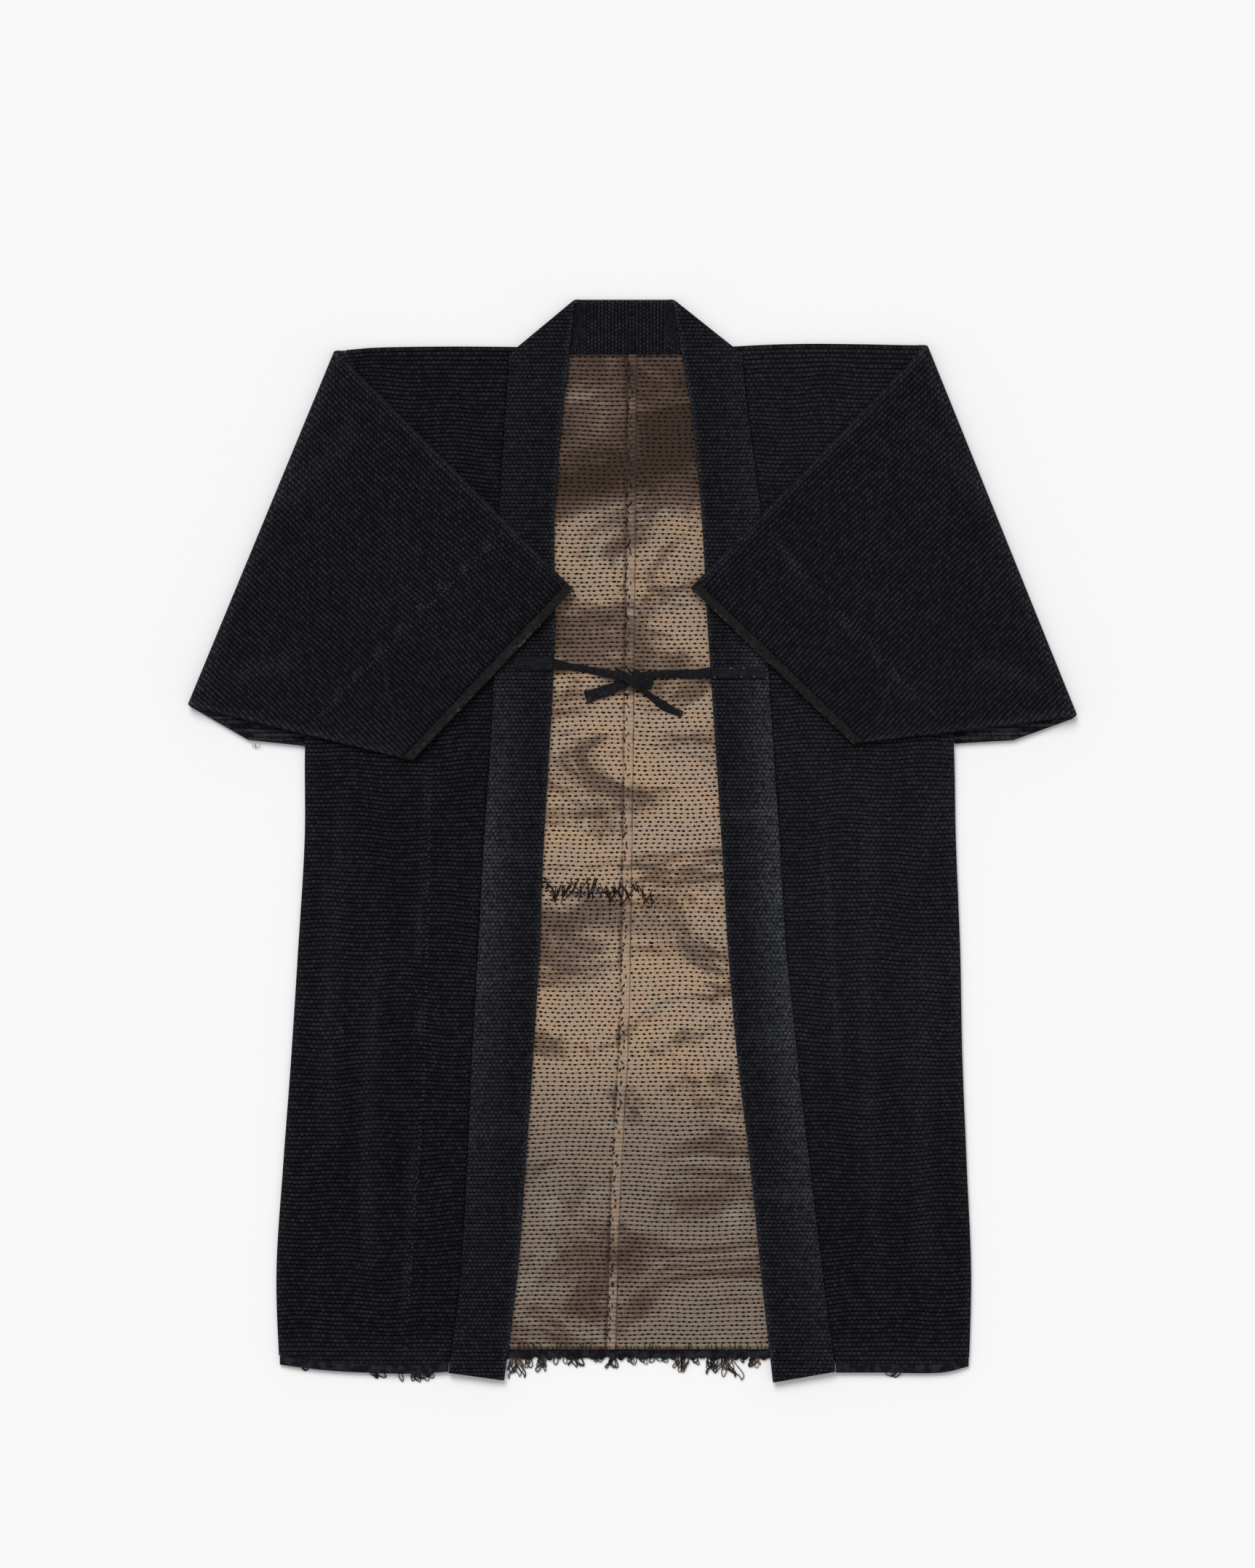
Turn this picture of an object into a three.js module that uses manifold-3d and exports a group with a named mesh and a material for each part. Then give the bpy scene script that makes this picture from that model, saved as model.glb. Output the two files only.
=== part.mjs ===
// Noragi jacket: a hip-length work coat of row-stitched indigo cotton, laid flat on its back with
// the sleeves folded over the fronts. Millimetres, +Z up, the wearer's left towards +X.
// Every point is first placed in "across" numbers, measured outwards from the centre back seam,
// and a side's sign then sends it to the left or the right of the coat.
import * as THREE from 'three';
import { mergeVertices } from 'three/addons/utils/BufferGeometryUtils.js';
import Module from 'manifold-3d';

// Cloth thicknesses and the heights at which the layers lie.
const SEAM_GAP = 0.3;
const BACK_CLOTH = 1.5;
const LINING = { low: 1.8, high: 2.7 };
const FRONT = { low: 3.0, high: 5.4 };
const SLEEVE = { ply: 2.4, slit: 0.4 };
const SLEEVE_DEPTH = 2 * SLEEVE.ply + SLEEVE.slit;
const COLLAR = { ply: 1.9, slit: 0.4 };
const COLLAR_DEPTH = 2 * COLLAR.ply + COLLAR.slit;

// Raised stitch rows: pitch from ridge to ridge, and height of a ridge.
const RIB_PITCH = 8;
const COLLAR_RIB_PITCH = 10.8;
const NECK_RIB_PITCH = 6.4;
const RIB_HEIGHT = 0.5;
const COARSE_STEP = 42;
const FLAP_RINGS = 6;

// Lengths of the coat along Y, and the finished edges.
const SHOULDER_Y = 455;
const NECK_SEAM_Y = 448.9;
const NECK_BAND_WIDTH = 50;
const HEM_BAND = 8.3;
const BACK_HEM_Y = -476.4;
const CUFF_BINDING = 8.3;
const BINDING_EXTRA = 0.6;
const NECK_CLEARANCE = 15;

// Folds: centre height of each bend and the radius at which the cloth keeps its length.
const SHOULDER_FOLD = { centre: FRONT.high / 2, neutral: 1.9 };
const SLEEVE_FOLD = { centre: 5.8, neutral: 3.2 };
const NECK_FOLD = { centre: 4.35, neutral: 2.3 };
const BEND_STEPS = 4;

// The flap of a folded sleeve rises over the collar, and the collar sinks off the neck band.
const FLAP_LIFT = { rise: 1.6, run: 80, before: 10 };
const COLLAR_SINK = { drop: 1.5, run: 55 };

const table = (columns, ...rows) => rows.map((row) => Object.fromEntries(columns.map((name, i) => [name, row[i]])));

// The two halves differ a little, as the coat lies. Points are [across, y].
const SIDES = [
  {
    name: 'right',
    sign: -1,
    armhole: { top: [263.5, 452], bottom: [302, 88] },
    sleeveFold: { from: [274.4, 450.2], to: [408.4, 126.6] },
    sleeveTop: { from: [263.5, 452], to: [583.8, 451.3] },
    sleeveUnder: table(['across', 'y'], [302, 88], [334, 88], [360, 97], [590, 235]),
    cuff: { top: 583.8, bottom: 590 },
    neckFold: { from: [113, 448.9], to: [53.3, 498.5] },
    neckRun: 44,
    outline: table(
      ['y', 'side', 'seam', 'free'],
      [448, 264, 112, 57],
      [400, 269, 116, 63],
      [300, 280, 122, 71],
      [200, 290, 125, 70.5],
      [100, 300.5, 129, 75],
      [0, 301.5, 136, 81],
      [-100, 307.5, 141.5, 85],
      [-200, 314, 147, 91],
      [-300, 321.5, 151.5, 98],
      [-400, 327.5, 157.5, 105.5],
      [-500, 324, 170, 118],
    ),
    hem: table(['across', 'y'], [165, -488], [200, -490], [232, -489.5], [281, -487], [330, -481]),
    collarEnd: { seam: -489.5, tilt: 7 },
    frays: table(['across', 'count', 'spread', 'length'], [205, 7, 36, 6]),
  },
  {
    name: 'left',
    sign: 1,
    armhole: { top: [262.5, 457], bottom: [297, 90] },
    sleeveFold: { from: [271.7, 457.6], to: [407.7, 121.3] },
    sleeveTop: { from: [262.5, 457.3], to: [583, 447.2] },
    sleeveUnder: table(['across', 'y'], [297, 90], [330, 92], [364, 92], [394, 106], [575, 240]),
    cuff: { top: 583, bottom: 575 },
    neckFold: { from: [101.5, 448.9], to: [39.2, 498.5] },
    neckRun: 30,
    outline: table(
      ['y', 'side', 'seam', 'free'],
      [448, 263.5, 101.5, 45],
      [400, 268, 106, 54.5],
      [300, 277.5, 118.5, 64],
      [200, 287, 123, 69.5],
      [100, 296, 129.5, 76],
      [0, 298.5, 136, 82.5],
      [-100, 302.5, 142, 88.5],
      [-200, 304.5, 152, 97],
      [-300, 308.5, 164, 109],
      [-400, 312.5, 176, 119],
      [-500, 310, 189, 130],
    ),
    hem: table(['across', 'y'], [180, -489], [230, -489], [285, -489], [315, -482]),
    collarEnd: { seam: -489, tilt: 10 },
    frays: [],
  },
];

// The centre back seam wanders to the wearer's right towards the hem.
const CENTRE_SEAM = table(['y', 'x'], [449, 5], [100, 1.5], [-180, -3], [-310, -10], [-477, -15]);
const SEAM_ALLOWANCE = { width: 8, height: 0.8 };

// Worn loops of thread below the hem of the back, by their place on X.
const BACK_FRAYS = table(
  ['x', 'count', 'spread', 'length'],
  [-98, 9, 28, 14],
  [-52, 8, 32, 7],
  [-18, 3, 8, 6],
  [6, 5, 15, 8],
  [48, 6, 15, 12],
  [79, 8, 22, 16],
  [112, 4, 9, 8],
);

// Ties sewn to the collar and knotted over the opening. Points are [x, y, z].
const TAPE = { thickness: 1.1 };
const KNOT = { centre: [0.5, 148.3, 8], size: [37, 20.5, 8.2], squareness: 0.6, turn: -0.1 };
const TIES = {
  tabs: table(
    ['name', 'sign', 'from', 'to', 'y', 'width'],
    ['tie_tab_right', -1, 72.6, 108.5, 164.2, 12],
    ['tie_tab_left', 1, 73, 122, 155.2, 9.6],
  ),
  tapes: table(
    ['name', 'width', 'thickness', 'taper', 'points'],
    ['tie_tape_right', 8.5, 1.1, 0.8,
      [[-72, 163, 9.1], [-64, 162, 7.6], [-56, 160.6, 4.3], [-42, 158.6, 3.6], [-28, 155.8, 4.4], [-19.2, 153.6, 6.2]]],
    ['tie_tape_left', 8.5, 1.1, 0.8,
      [[72.4, 155.4, 9.2], [64, 154.8, 7.6], [55, 154.3, 4.3], [40, 154.2, 3.6], [28, 153.6, 4.4], [19.6, 151.6, 6.2]]],
    ['tie_tail_long', 10, 1.1, 1.08,
      [[-19.8, 140, 6], [-24.5, 138.4, 4.6], [-32, 136, 3.95], [-42.8, 132.7, 3.95]]],
    ['tie_tail_short', 7, 2, 0.9,
      [[13.8, 135.5, 6], [18, 132.7, 4.8], [24, 128.8, 4.2], [33, 122.8, 4], [46.5, 117.2, 4]]],
  ),
};

const COLOURS = {
  indigo: 0x1b1d27,
  collar: 0x23272d,
  lining: 0xa08468,
  binding: 0x23221f,
  tie: 0x1a1b22,
};
const CLOTH_ROUGHNESS = 0.9;

const clamp = THREE.MathUtils.clamp;
const lerp = THREE.MathUtils.lerp;
const ease = (t) => THREE.MathUtils.smoothstep(t, 0, 1);
const steps = (from, to, step) => {
  const count = Math.max(1, Math.ceil(Math.abs(to - from) / step));
  return Array.from({ length: count + 1 }, (_, i) => lerp(from, to, i / count));
};

// Reads a table as a smooth line: the value of one column at a place on another.
function trace(rows, by, at, give) {
  const sorted = [...rows].sort((a, b) => a[by] - b[by]);
  const last = sorted.length - 1;
  let i = 0;
  while (i < last - 1 && sorted[i + 1][by] < at) i += 1;
  const [a, b] = [sorted[i], sorted[i + 1]];
  const before = sorted[Math.max(0, i - 1)];
  const after = sorted[Math.min(last, i + 2)];
  const span = b[by] - a[by];
  const t = clamp((at - a[by]) / span, 0, 1);
  const slopeA = ((b[give] - before[give]) / (b[by] - before[by])) * span;
  const slopeB = ((after[give] - a[give]) / (after[by] - a[by])) * span;
  const [t2, t3] = [t * t, t * t * t];
  return (2 * t3 - 3 * t2 + 1) * a[give] + (t3 - 2 * t2 + t) * slopeA + (3 * t2 - 2 * t3) * b[give] + (t3 - t2) * slopeB;
}

// The low waves of cloth at rest, shared by every layer above the lining so that none crosses.
function swell(across, y, sign) {
  const x = sign * across;
  const inside = ease((262 - across) / 62) * ease((NECK_SEAM_Y - y) / 50);
  const waves = 1 + 0.6 * Math.sin(x / 47 + y / 95) + 0.4 * Math.sin(y / 61 - x / 120);
  return 0.5 * inside * waves;
}

// A straight fold: cloth past the line turns up and over and lies back on itself.
class Fold {
  constructor({ from, to }, { centre, neutral }, outwards) {
    this.along = new THREE.Vector2(to[0] - from[0], to[1] - from[1]).normalize();
    this.normal = new THREE.Vector2(-this.along.y, this.along.x);
    if (this.normal.dot(new THREE.Vector2(...outwards)) < 0) this.normal.negate();
    this.centre = centre;
    this.neutral = neutral;
    this.turn = Math.PI * neutral;
    this.foot = new THREE.Vector2(...from).addScaledVector(this.normal, -centre);
  }

  past(x, y) {
    return (x - this.foot.x) * this.normal.x + (y - this.foot.y) * this.normal.y;
  }

  over(x, y, z) {
    const s = this.past(x, y);
    if (s <= 0) return new THREE.Vector3(x, y, z);
    const angle = Math.min(Math.PI, s / this.neutral);
    const radius = this.centre - z;
    const out = radius * Math.sin(angle) - Math.max(0, s - this.turn) - s;
    return new THREE.Vector3(
      x + out * this.normal.x,
      y + out * this.normal.y,
      this.centre - radius * Math.cos(angle),
    );
  }

  // Where a point of the folded-over cloth was before the fold.
  flat(x, y) {
    const shift = this.turn - 2 * this.past(x, y);
    return [x + shift * this.normal.x, y + shift * this.normal.y];
  }
}

// A closed skin built from lines of points.
class Skin {
  constructor() {
    this.triangles = [];
  }

  // Fills the band between two lines: rung by rung, or by the shorter diagonal.
  band(a, b) {
    let i = 0;
    let j = 0;
    while (i < a.length - 1 || j < b.length - 1) {
      let first = j === b.length - 1;
      if (!first && i < a.length - 1) {
        first = a.length === b.length ? i <= j : a[i + 1].distanceTo(b[j]) < a[i].distanceTo(b[j + 1]);
      }
      if (first) {
        this.triangles.push([a[i], a[i + 1], b[j]]);
        i += 1;
      } else {
        this.triangles.push([a[i], b[j + 1], b[j]]);
        j += 1;
      }
    }
  }

  sheet(lines) {
    for (let i = 1; i < lines.length; i += 1) this.band(lines[i - 1], lines[i]);
  }

  cap(points, outline) {
    const faces = THREE.ShapeUtils.triangulateShape(outline.map(([u, v]) => new THREE.Vector2(u, v)), []);
    faces.forEach((face) => this.triangles.push(face.map((i) => points[i])));
  }

  // The closed geometry, with across numbers sent to their side of the coat.
  geometry(sign) {
    const flat = this.triangles.flatMap((triangle) => triangle.flatMap((p) => [sign * p.x, p.y, p.z]));
    const loose = new THREE.BufferGeometry();
    loose.setAttribute('position', new THREE.Float32BufferAttribute(flat, 3));
    const merged = mergeVertices(loose, 1e-3);
    merged.setIndex(outwards(merged));
    return merged;
  }
}

// Drops collapsed triangles, turns each triangle to agree with its neighbours, then all outwards.
function outwards(geometry) {
  const index = geometry.getIndex().array;
  const faces = [];
  for (let i = 0; i < index.length; i += 3) {
    const face = [index[i], index[i + 1], index[i + 2]];
    if (new Set(face).size === 3) faces.push(face);
  }
  const edges = new Map();
  faces.forEach((face, f) => face.forEach((a, i) => {
    const b = face[(i + 1) % 3];
    const key = `${Math.min(a, b)}_${Math.max(a, b)}`;
    edges.set(key, [...(edges.get(key) ?? []), { f, forward: a < b }]);
  }));
  const turned = new Array(faces.length).fill(null);
  turned[0] = false;
  const queue = [0];
  while (queue.length) {
    const f = queue.pop();
    faces[f].forEach((a, i) => {
      const b = faces[f][(i + 1) % 3];
      const users = edges.get(`${Math.min(a, b)}_${Math.max(a, b)}`);
      const mine = users.find((user) => user.f === f);
      users.filter((user) => turned[user.f] === null).forEach((user) => {
        turned[user.f] = user.forward === mine.forward ? !turned[f] : turned[f];
        queue.push(user.f);
      });
    });
  }
  const agreed = faces.map(([a, b, c], f) => (turned[f] ? [a, c, b] : [a, b, c]));
  const at = geometry.getAttribute('position');
  const corner = (i) => new THREE.Vector3().fromBufferAttribute(at, i);
  const volume = agreed.reduce((sum, [a, b, c]) => sum + corner(a).dot(corner(b).cross(corner(c))), 0);
  return agreed.flatMap(([a, b, c]) => (volume < 0 ? [a, c, b] : [a, b, c]));
}

const coat = new THREE.Group();
coat.name = 'noragi_jacket';

function addPiece(name, geometry, colour) {
  const material = new THREE.MeshStandardMaterial({ color: colour, roughness: CLOTH_ROUGHNESS, metalness: 0 });
  const mesh = new THREE.Mesh(geometry, material);
  mesh.name = name;
  coat.add(mesh);
  return mesh;
}

const first = (lines) => lines.map((line) => line[0]);
const final = (lines) => lines.map((line) => line[line.length - 1]);
const mix = (a, b, t) => [lerp(a[0], b[0], t), lerp(a[1], b[1], t)];
const sideways = (lines, sign) => lines.map((line) => line.map((p) => new THREE.Vector3(sign * p.x, p.y, p.z)));

function sideEdge(side, y) {
  const { top, bottom } = side.armhole;
  if (y < bottom[1]) return trace(side.outline, 'y', y, 'side');
  return mix(bottom, top, (y - bottom[1]) / (top[1] - bottom[1]))[0];
}

const seamEdge = (side, y) => trace(side.outline, 'y', y, 'seam');
const freeEdge = (side, y) => trace(side.outline, 'y', y, 'free');
const hemLine = (side, across) => trace(side.hem, 'across', across, 'y');
const centreEdge = (side, y) => side.sign * trace(CENTRE_SEAM, 'y', y, 'x') + SEAM_GAP / 2;

// Fronts sink onto the back along the side seam, below the armhole.
const SIDE_SINK = { drop: 1.2, width: 12 };
const sideSink = (side, across, y) => SIDE_SINK.drop
  * ease((across - sideEdge(side, y) + SIDE_SINK.width) / SIDE_SINK.width)
  * ease((side.armhole.bottom[1] - y) / 30);

// One half of the body: a strip from the back hem over the shoulder to the front hem, with the
// part of the back that reaches in to the centre seam below the neck.
function buildBody(side) {
  const fold = new Fold({ from: [0, SHOULDER_Y], to: [1, SHOULDER_Y] }, SHOULDER_FOLD, [0, 1]);
  const shoulder = fold.foot.y;
  const neckEnd = side.neckFold.from[0] + 2 * SEAM_GAP;
  const neckY = NECK_SEAM_Y - SEAM_GAP;
  const backHem = BACK_HEM_Y + HEM_BAND + SEAM_GAP;
  const backRuns = steps(backHem, neckY, COARSE_STEP);
  const bendRuns = steps(0, fold.turn, fold.turn / BEND_STEPS).map((s) => shoulder + s);
  const frontEnd = shoulder + fold.turn + shoulder + 490;
  const frontRuns = (step) => steps(shoulder + fold.turn, frontEnd, step).slice(1);
  const columns = [0, 0.5, 0.93, 1];

  const stripRow = (run, isOuter, rib) => columns.map((column) => {
    const s = run - shoulder;
    const y = s < fold.turn ? Math.min(run, shoulder) : shoulder - (s - fold.turn);
    const isFront = s >= fold.turn;
    const besideCollar = Math.max(seamEdge(side, y) + SEAM_GAP, y > neckY - NECK_CLEARANCE ? neckEnd : 0);
    const inner = isFront ? besideCollar : neckEnd;
    const across = lerp(inner, sideEdge(side, y) - SEAM_GAP, column);
    const depth = lerp(BACK_CLOTH, FRONT.high - FRONT.low, clamp(s / fold.turn, 0, 1));
    if (!isFront) return fold.over(across, run, isOuter ? 0 : depth);
    const lowest = hemLine(side, across) + HEM_BAND + SEAM_GAP;
    const height = isOuter && y > lowest ? -rib : 0;
    const flatY = run - Math.max(0, lowest - y);
    const point = fold.over(across, flatY, isOuter ? height : depth);
    point.z += swell(across, point.y, side.sign) - sideSink(side, across, point.y);
    return point;
  });
  const neckRow = (run, z) => [0, 0.5, 1].map((t) => new THREE.Vector3(lerp(centreEdge(side, run), neckEnd, t), run, z));

  const plainRuns = [...backRuns, ...bendRuns, ...frontRuns(COARSE_STEP)];
  const outer = [
    ...[...backRuns, ...bendRuns].map((run) => stripRow(run, true, 0)),
    ...frontRuns(RIB_PITCH / 2).map((run, i) => stripRow(run, true, i % 2 ? 0 : RIB_HEIGHT)),
  ];
  const inner = plainRuns.map((run) => stripRow(run, false, 0));
  const neckOuter = backRuns.map((run) => neckRow(run, 0));
  const neckInner = backRuns.map((run) => neckRow(run, BACK_CLOTH));
  const neckCount = backRuns.length - 1;

  const skin = new Skin();
  [outer, inner, neckOuter, neckInner].forEach((rows) => skin.sheet(rows));
  skin.band(final(outer), final(inner));
  skin.band(first(neckOuter), first(neckInner));
  skin.band(neckOuter[neckCount], neckInner[neckCount]);
  skin.band(first(outer).slice(neckCount), first(inner).slice(neckCount));
  skin.band([...neckOuter[0], ...outer[0].slice(1)], [...neckInner[0], ...inner[0].slice(1)]);
  skin.band(outer[outer.length - 1], inner[inner.length - 1]);
  addPiece(`body_${side.name}`, skin.geometry(side.sign), COLOURS.indigo);
}

// The back's lining. The right one carries the turned seam allowance of the centre seam.
function buildLining(side) {
  const allowance = side.sign < 0 ? SEAM_ALLOWANCE : { width: SEAM_ALLOWANCE.width, height: 0 };
  const rows = steps(BACK_HEM_Y + HEM_BAND + SEAM_GAP, NECK_SEAM_Y - 2 * SEAM_GAP, COARSE_STEP);
  const edges = rows.map((y) => [centreEdge(side, y), sideEdge(side, y) - SIDE_SINK.width - 2]);
  const at = (x, y, z) => new THREE.Vector3(x, y, z);
  const upper = rows.map((y, i) => {
    const [from, to] = edges[i];
    const step = from + allowance.width;
    const raised = [at(from, y, LINING.high + allowance.height), at(step, y, LINING.high + allowance.height)];
    const flat = [0, 0.5, 1].map((t) => at(lerp(step, to, t), y, LINING.high));
    return [...raised, ...flat];
  });
  const lower = rows.map((y, i) => [0, 0.5, 1].map((t) => at(lerp(...edges[i], t), y, LINING.low)));
  const skin = new Skin();
  skin.sheet(upper);
  skin.sheet(lower);
  skin.band(first(upper), first(lower));
  skin.band(final(upper), final(lower));
  skin.band(upper[0], lower[0]);
  skin.band(upper[upper.length - 1], lower[lower.length - 1]);
  addPiece(`lining_${side.name}`, skin.geometry(side.sign), COLOURS.lining);
}

// A sleeve is a flattened tube. A ring crosses it from its top edge to its lower edge, in the
// numbers of the sleeve before it is folded over the front.
class SleeveCut {
  constructor(side) {
    this.side = side;
    this.fold = new Fold(side.sleeveFold, SLEEVE_FOLD, [1, 0]);
    this.longest = side.armhole.top[1] - side.armhole.bottom[1];
  }

  topAt(x) {
    const { from, to } = this.side.sleeveTop;
    return lerp(from[1], to[1], (x - from[0]) / (to[0] - from[0]));
  }

  underAt(x) {
    return trace(this.side.sleeveUnder, 'across', x, 'y');
  }

  ring(topX, underX) {
    return { top: [topX, this.topAt(topX)], under: [underX, this.underAt(underX)] };
  }

  // The ring that lies a given way past the fold line.
  foldRing(s) {
    const solve = (height) => {
      let [low, high] = [this.side.armhole.top[0], this.side.cuff.top];
      for (let i = 0; i < 40; i += 1) {
        const middle = (low + high) / 2;
        if (this.fold.past(middle, height(middle)) < s) low = middle;
        else high = middle;
      }
      return low;
    };
    return this.ring(solve((x) => this.topAt(x)), solve((x) => this.underAt(x)));
  }

  cuffRing(inset) {
    return this.ring(this.side.cuff.top - inset, this.side.cuff.bottom - inset);
  }

  point(ring, distance, z) {
    const depth = ring.top[1] - ring.under[1];
    const [x, y] = mix(ring.top, ring.under, clamp(distance / depth, 0, 1));
    const point = this.fold.over(x, y, z);
    if (this.fold.past(x, y) < this.fold.turn) return point;
    const seam = seamEdge(this.side, Math.min(point.y, NECK_SEAM_Y));
    const rise = clamp((seam + FLAP_LIFT.run + FLAP_LIFT.before - point.x) / FLAP_LIFT.run, 0, 1);
    point.z += swell(point.x, point.y, this.side.sign) + FLAP_LIFT.rise * rise;
    return point;
  }

  // A line from the top edge to the lower edge on one face of a ply.
  line(ring, { rim, z, rimZ, step, rib = 0, edge = 0 }) {
    const depth = ring.top[1] - ring.under[1];
    const rows = steps(rim, this.longest - rim, step);
    const inner = rows.map((distance, i) => {
      const isRidge = i % 2 === 1 && distance < depth - rim;
      return this.point(ring, Math.min(distance, depth - rim), isRidge ? z - rib : z);
    });
    return [this.point(ring, edge, rimZ), ...inner, this.point(ring, depth - edge, rimZ)];
  }
}

function buildTube(cut, rings, { extra, ribbed }) {
  const middle = SLEEVE_DEPTH / 2;
  const outside = { rim: 1.2, rimZ: middle, step: COARSE_STEP };
  const inside = { rim: 5, rimZ: middle, step: COARSE_STEP, edge: SLEEVE.ply + SLEEVE.slit };
  const lower = rings.map(({ ring, past }) => {
    const onFlap = ribbed && past >= cut.fold.turn / 2;
    const rib = past >= cut.fold.turn ? RIB_HEIGHT : 0;
    return cut.line(ring, { ...outside, z: -extra, ...(onFlap ? { step: RIB_PITCH / 2, rib } : {}) });
  });
  const upper = rings.map(({ ring }) => cut.line(ring, { ...outside, z: SLEEVE_DEPTH }));
  const lowerSlit = rings.map(({ ring }) => cut.line(ring, { ...inside, z: SLEEVE.ply }));
  const upperSlit = rings.map(({ ring }) => cut.line(ring, { ...inside, z: SLEEVE.ply + SLEEVE.slit }));
  const skin = new Skin();
  [lower, upper, lowerSlit, upperSlit].forEach((lines) => skin.sheet(lines));
  [0, rings.length - 1].forEach((end) => {
    skin.band(lower[end], lowerSlit[end]);
    skin.band(upper[end], upperSlit[end]);
  });
  return skin.geometry(cut.side.sign);
}

function buildSleeve(side) {
  const cut = new SleeveCut(side);
  const armhole = { top: side.armhole.top, under: side.armhole.bottom };
  const foldStart = cut.foldRing(0);
  const halfway = cut.ring(lerp(armhole.top[0], foldStart.top[0], 0.5), lerp(armhole.under[0], foldStart.under[0], 0.5));
  const bends = steps(0, cut.fold.turn, cut.fold.turn / BEND_STEPS);
  const flapStart = cut.foldRing(cut.fold.turn);
  const cuff = cut.cuffRing(CUFF_BINDING + SEAM_GAP);
  const flap = steps(0, 1, 1 / FLAP_RINGS).slice(1);
  const rings = [
    { ring: armhole, past: -2 },
    { ring: halfway, past: -1 },
    ...bends.map((past) => ({ ring: cut.foldRing(past), past })),
    ...flap.map((t) => ({
      ring: cut.ring(lerp(flapStart.top[0], cuff.top[0], t), lerp(flapStart.under[0], cuff.under[0], t)),
      past: cut.fold.turn,
    })),
  ];
  addPiece(`sleeve_${side.name}`, buildTube(cut, rings, { extra: 0, ribbed: true }), COLOURS.indigo);
  const tape = [CUFF_BINDING, CUFF_BINDING / 2, 0].map((inset) => ({ ring: cut.cuffRing(inset), past: 0 }));
  addPiece(`cuff_binding_${side.name}`, buildTube(cut, tape, { extra: BINDING_EXTRA, ribbed: false }), COLOURS.binding);
}

// The collar's stations on one side, from the middle of the neck to the front hem. A station is
// a line from the seam edge to the free edge, in the numbers of the band before it turns.
class CollarCut {
  constructor(side) {
    this.side = side;
    this.fold = new Fold(side.neckFold, NECK_FOLD, [1, 1]);
  }

  neck(a) {
    return { seam: [a, NECK_SEAM_Y], free: [a, NECK_SEAM_Y + NECK_BAND_WIDTH] };
  }

  bend(s) {
    const at = (y) => this.fold.foot.x + (s - (y - this.fold.foot.y) * this.fold.normal.y) / this.fold.normal.x;
    const { seam, free } = this.neck(0);
    return { seam: [at(seam[1]), seam[1]], free: [at(free[1]), free[1]] };
  }

  front(seam, free) {
    return { seam: this.fold.flat(...seam), free: this.fold.flat(...free) };
  }

  stations(neckStep, frontStep, ribOf) {
    const { fold, side } = this;
    const neck = steps(0, side.neckRun, neckStep).map((a, i) => ({ ...this.neck(a), rib: ribOf.neck(i) }));
    const bends = steps(0, fold.turn, fold.turn / BEND_STEPS).map((s) => ({ ...this.bend(s), rib: 0 }));
    const turned = this.bend(fold.turn);
    const settle = (p) => [p[0] - fold.turn * fold.normal.x, p[1] - fold.turn * fold.normal.y];
    const [seamFrom, freeFrom] = [settle(turned.seam), settle(turned.free)];
    const start = seamFrom[1] - 12;
    const fan = [1 / 3, 2 / 3, 1].map((t) => ({
      ...this.front(
        mix(seamFrom, [seamEdge(side, start), start], t),
        mix(freeFrom, [freeEdge(side, start), start], t),
      ),
      rib: 0,
    }));
    const { seam: end, tilt } = side.collarEnd;
    const rows = steps(start, end, frontStep).slice(1).map((y, i) => {
      const freeY = y - tilt * ease((end + 60 - y) / 60);
      return { ...this.front([seamEdge(side, y), y], [freeEdge(side, freeY), freeY]), rib: ribOf.front(i) };
    });
    return [...neck, ...bends, ...fan, ...rows];
  }

  point(station, t, z) {
    const [x, y] = mix(station.seam, station.free, t);
    const point = this.fold.over(x, y, z);
    if (this.fold.past(x, y) >= this.fold.turn - 1e-6) {
      const sink = COLLAR_SINK.drop * ease((NECK_SEAM_Y - point.y) / COLLAR_SINK.run);
      point.z += swell(point.x, point.y, this.side.sign) - sink;
    }
    point.x *= this.side.sign;
    return point;
  }
}

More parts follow.
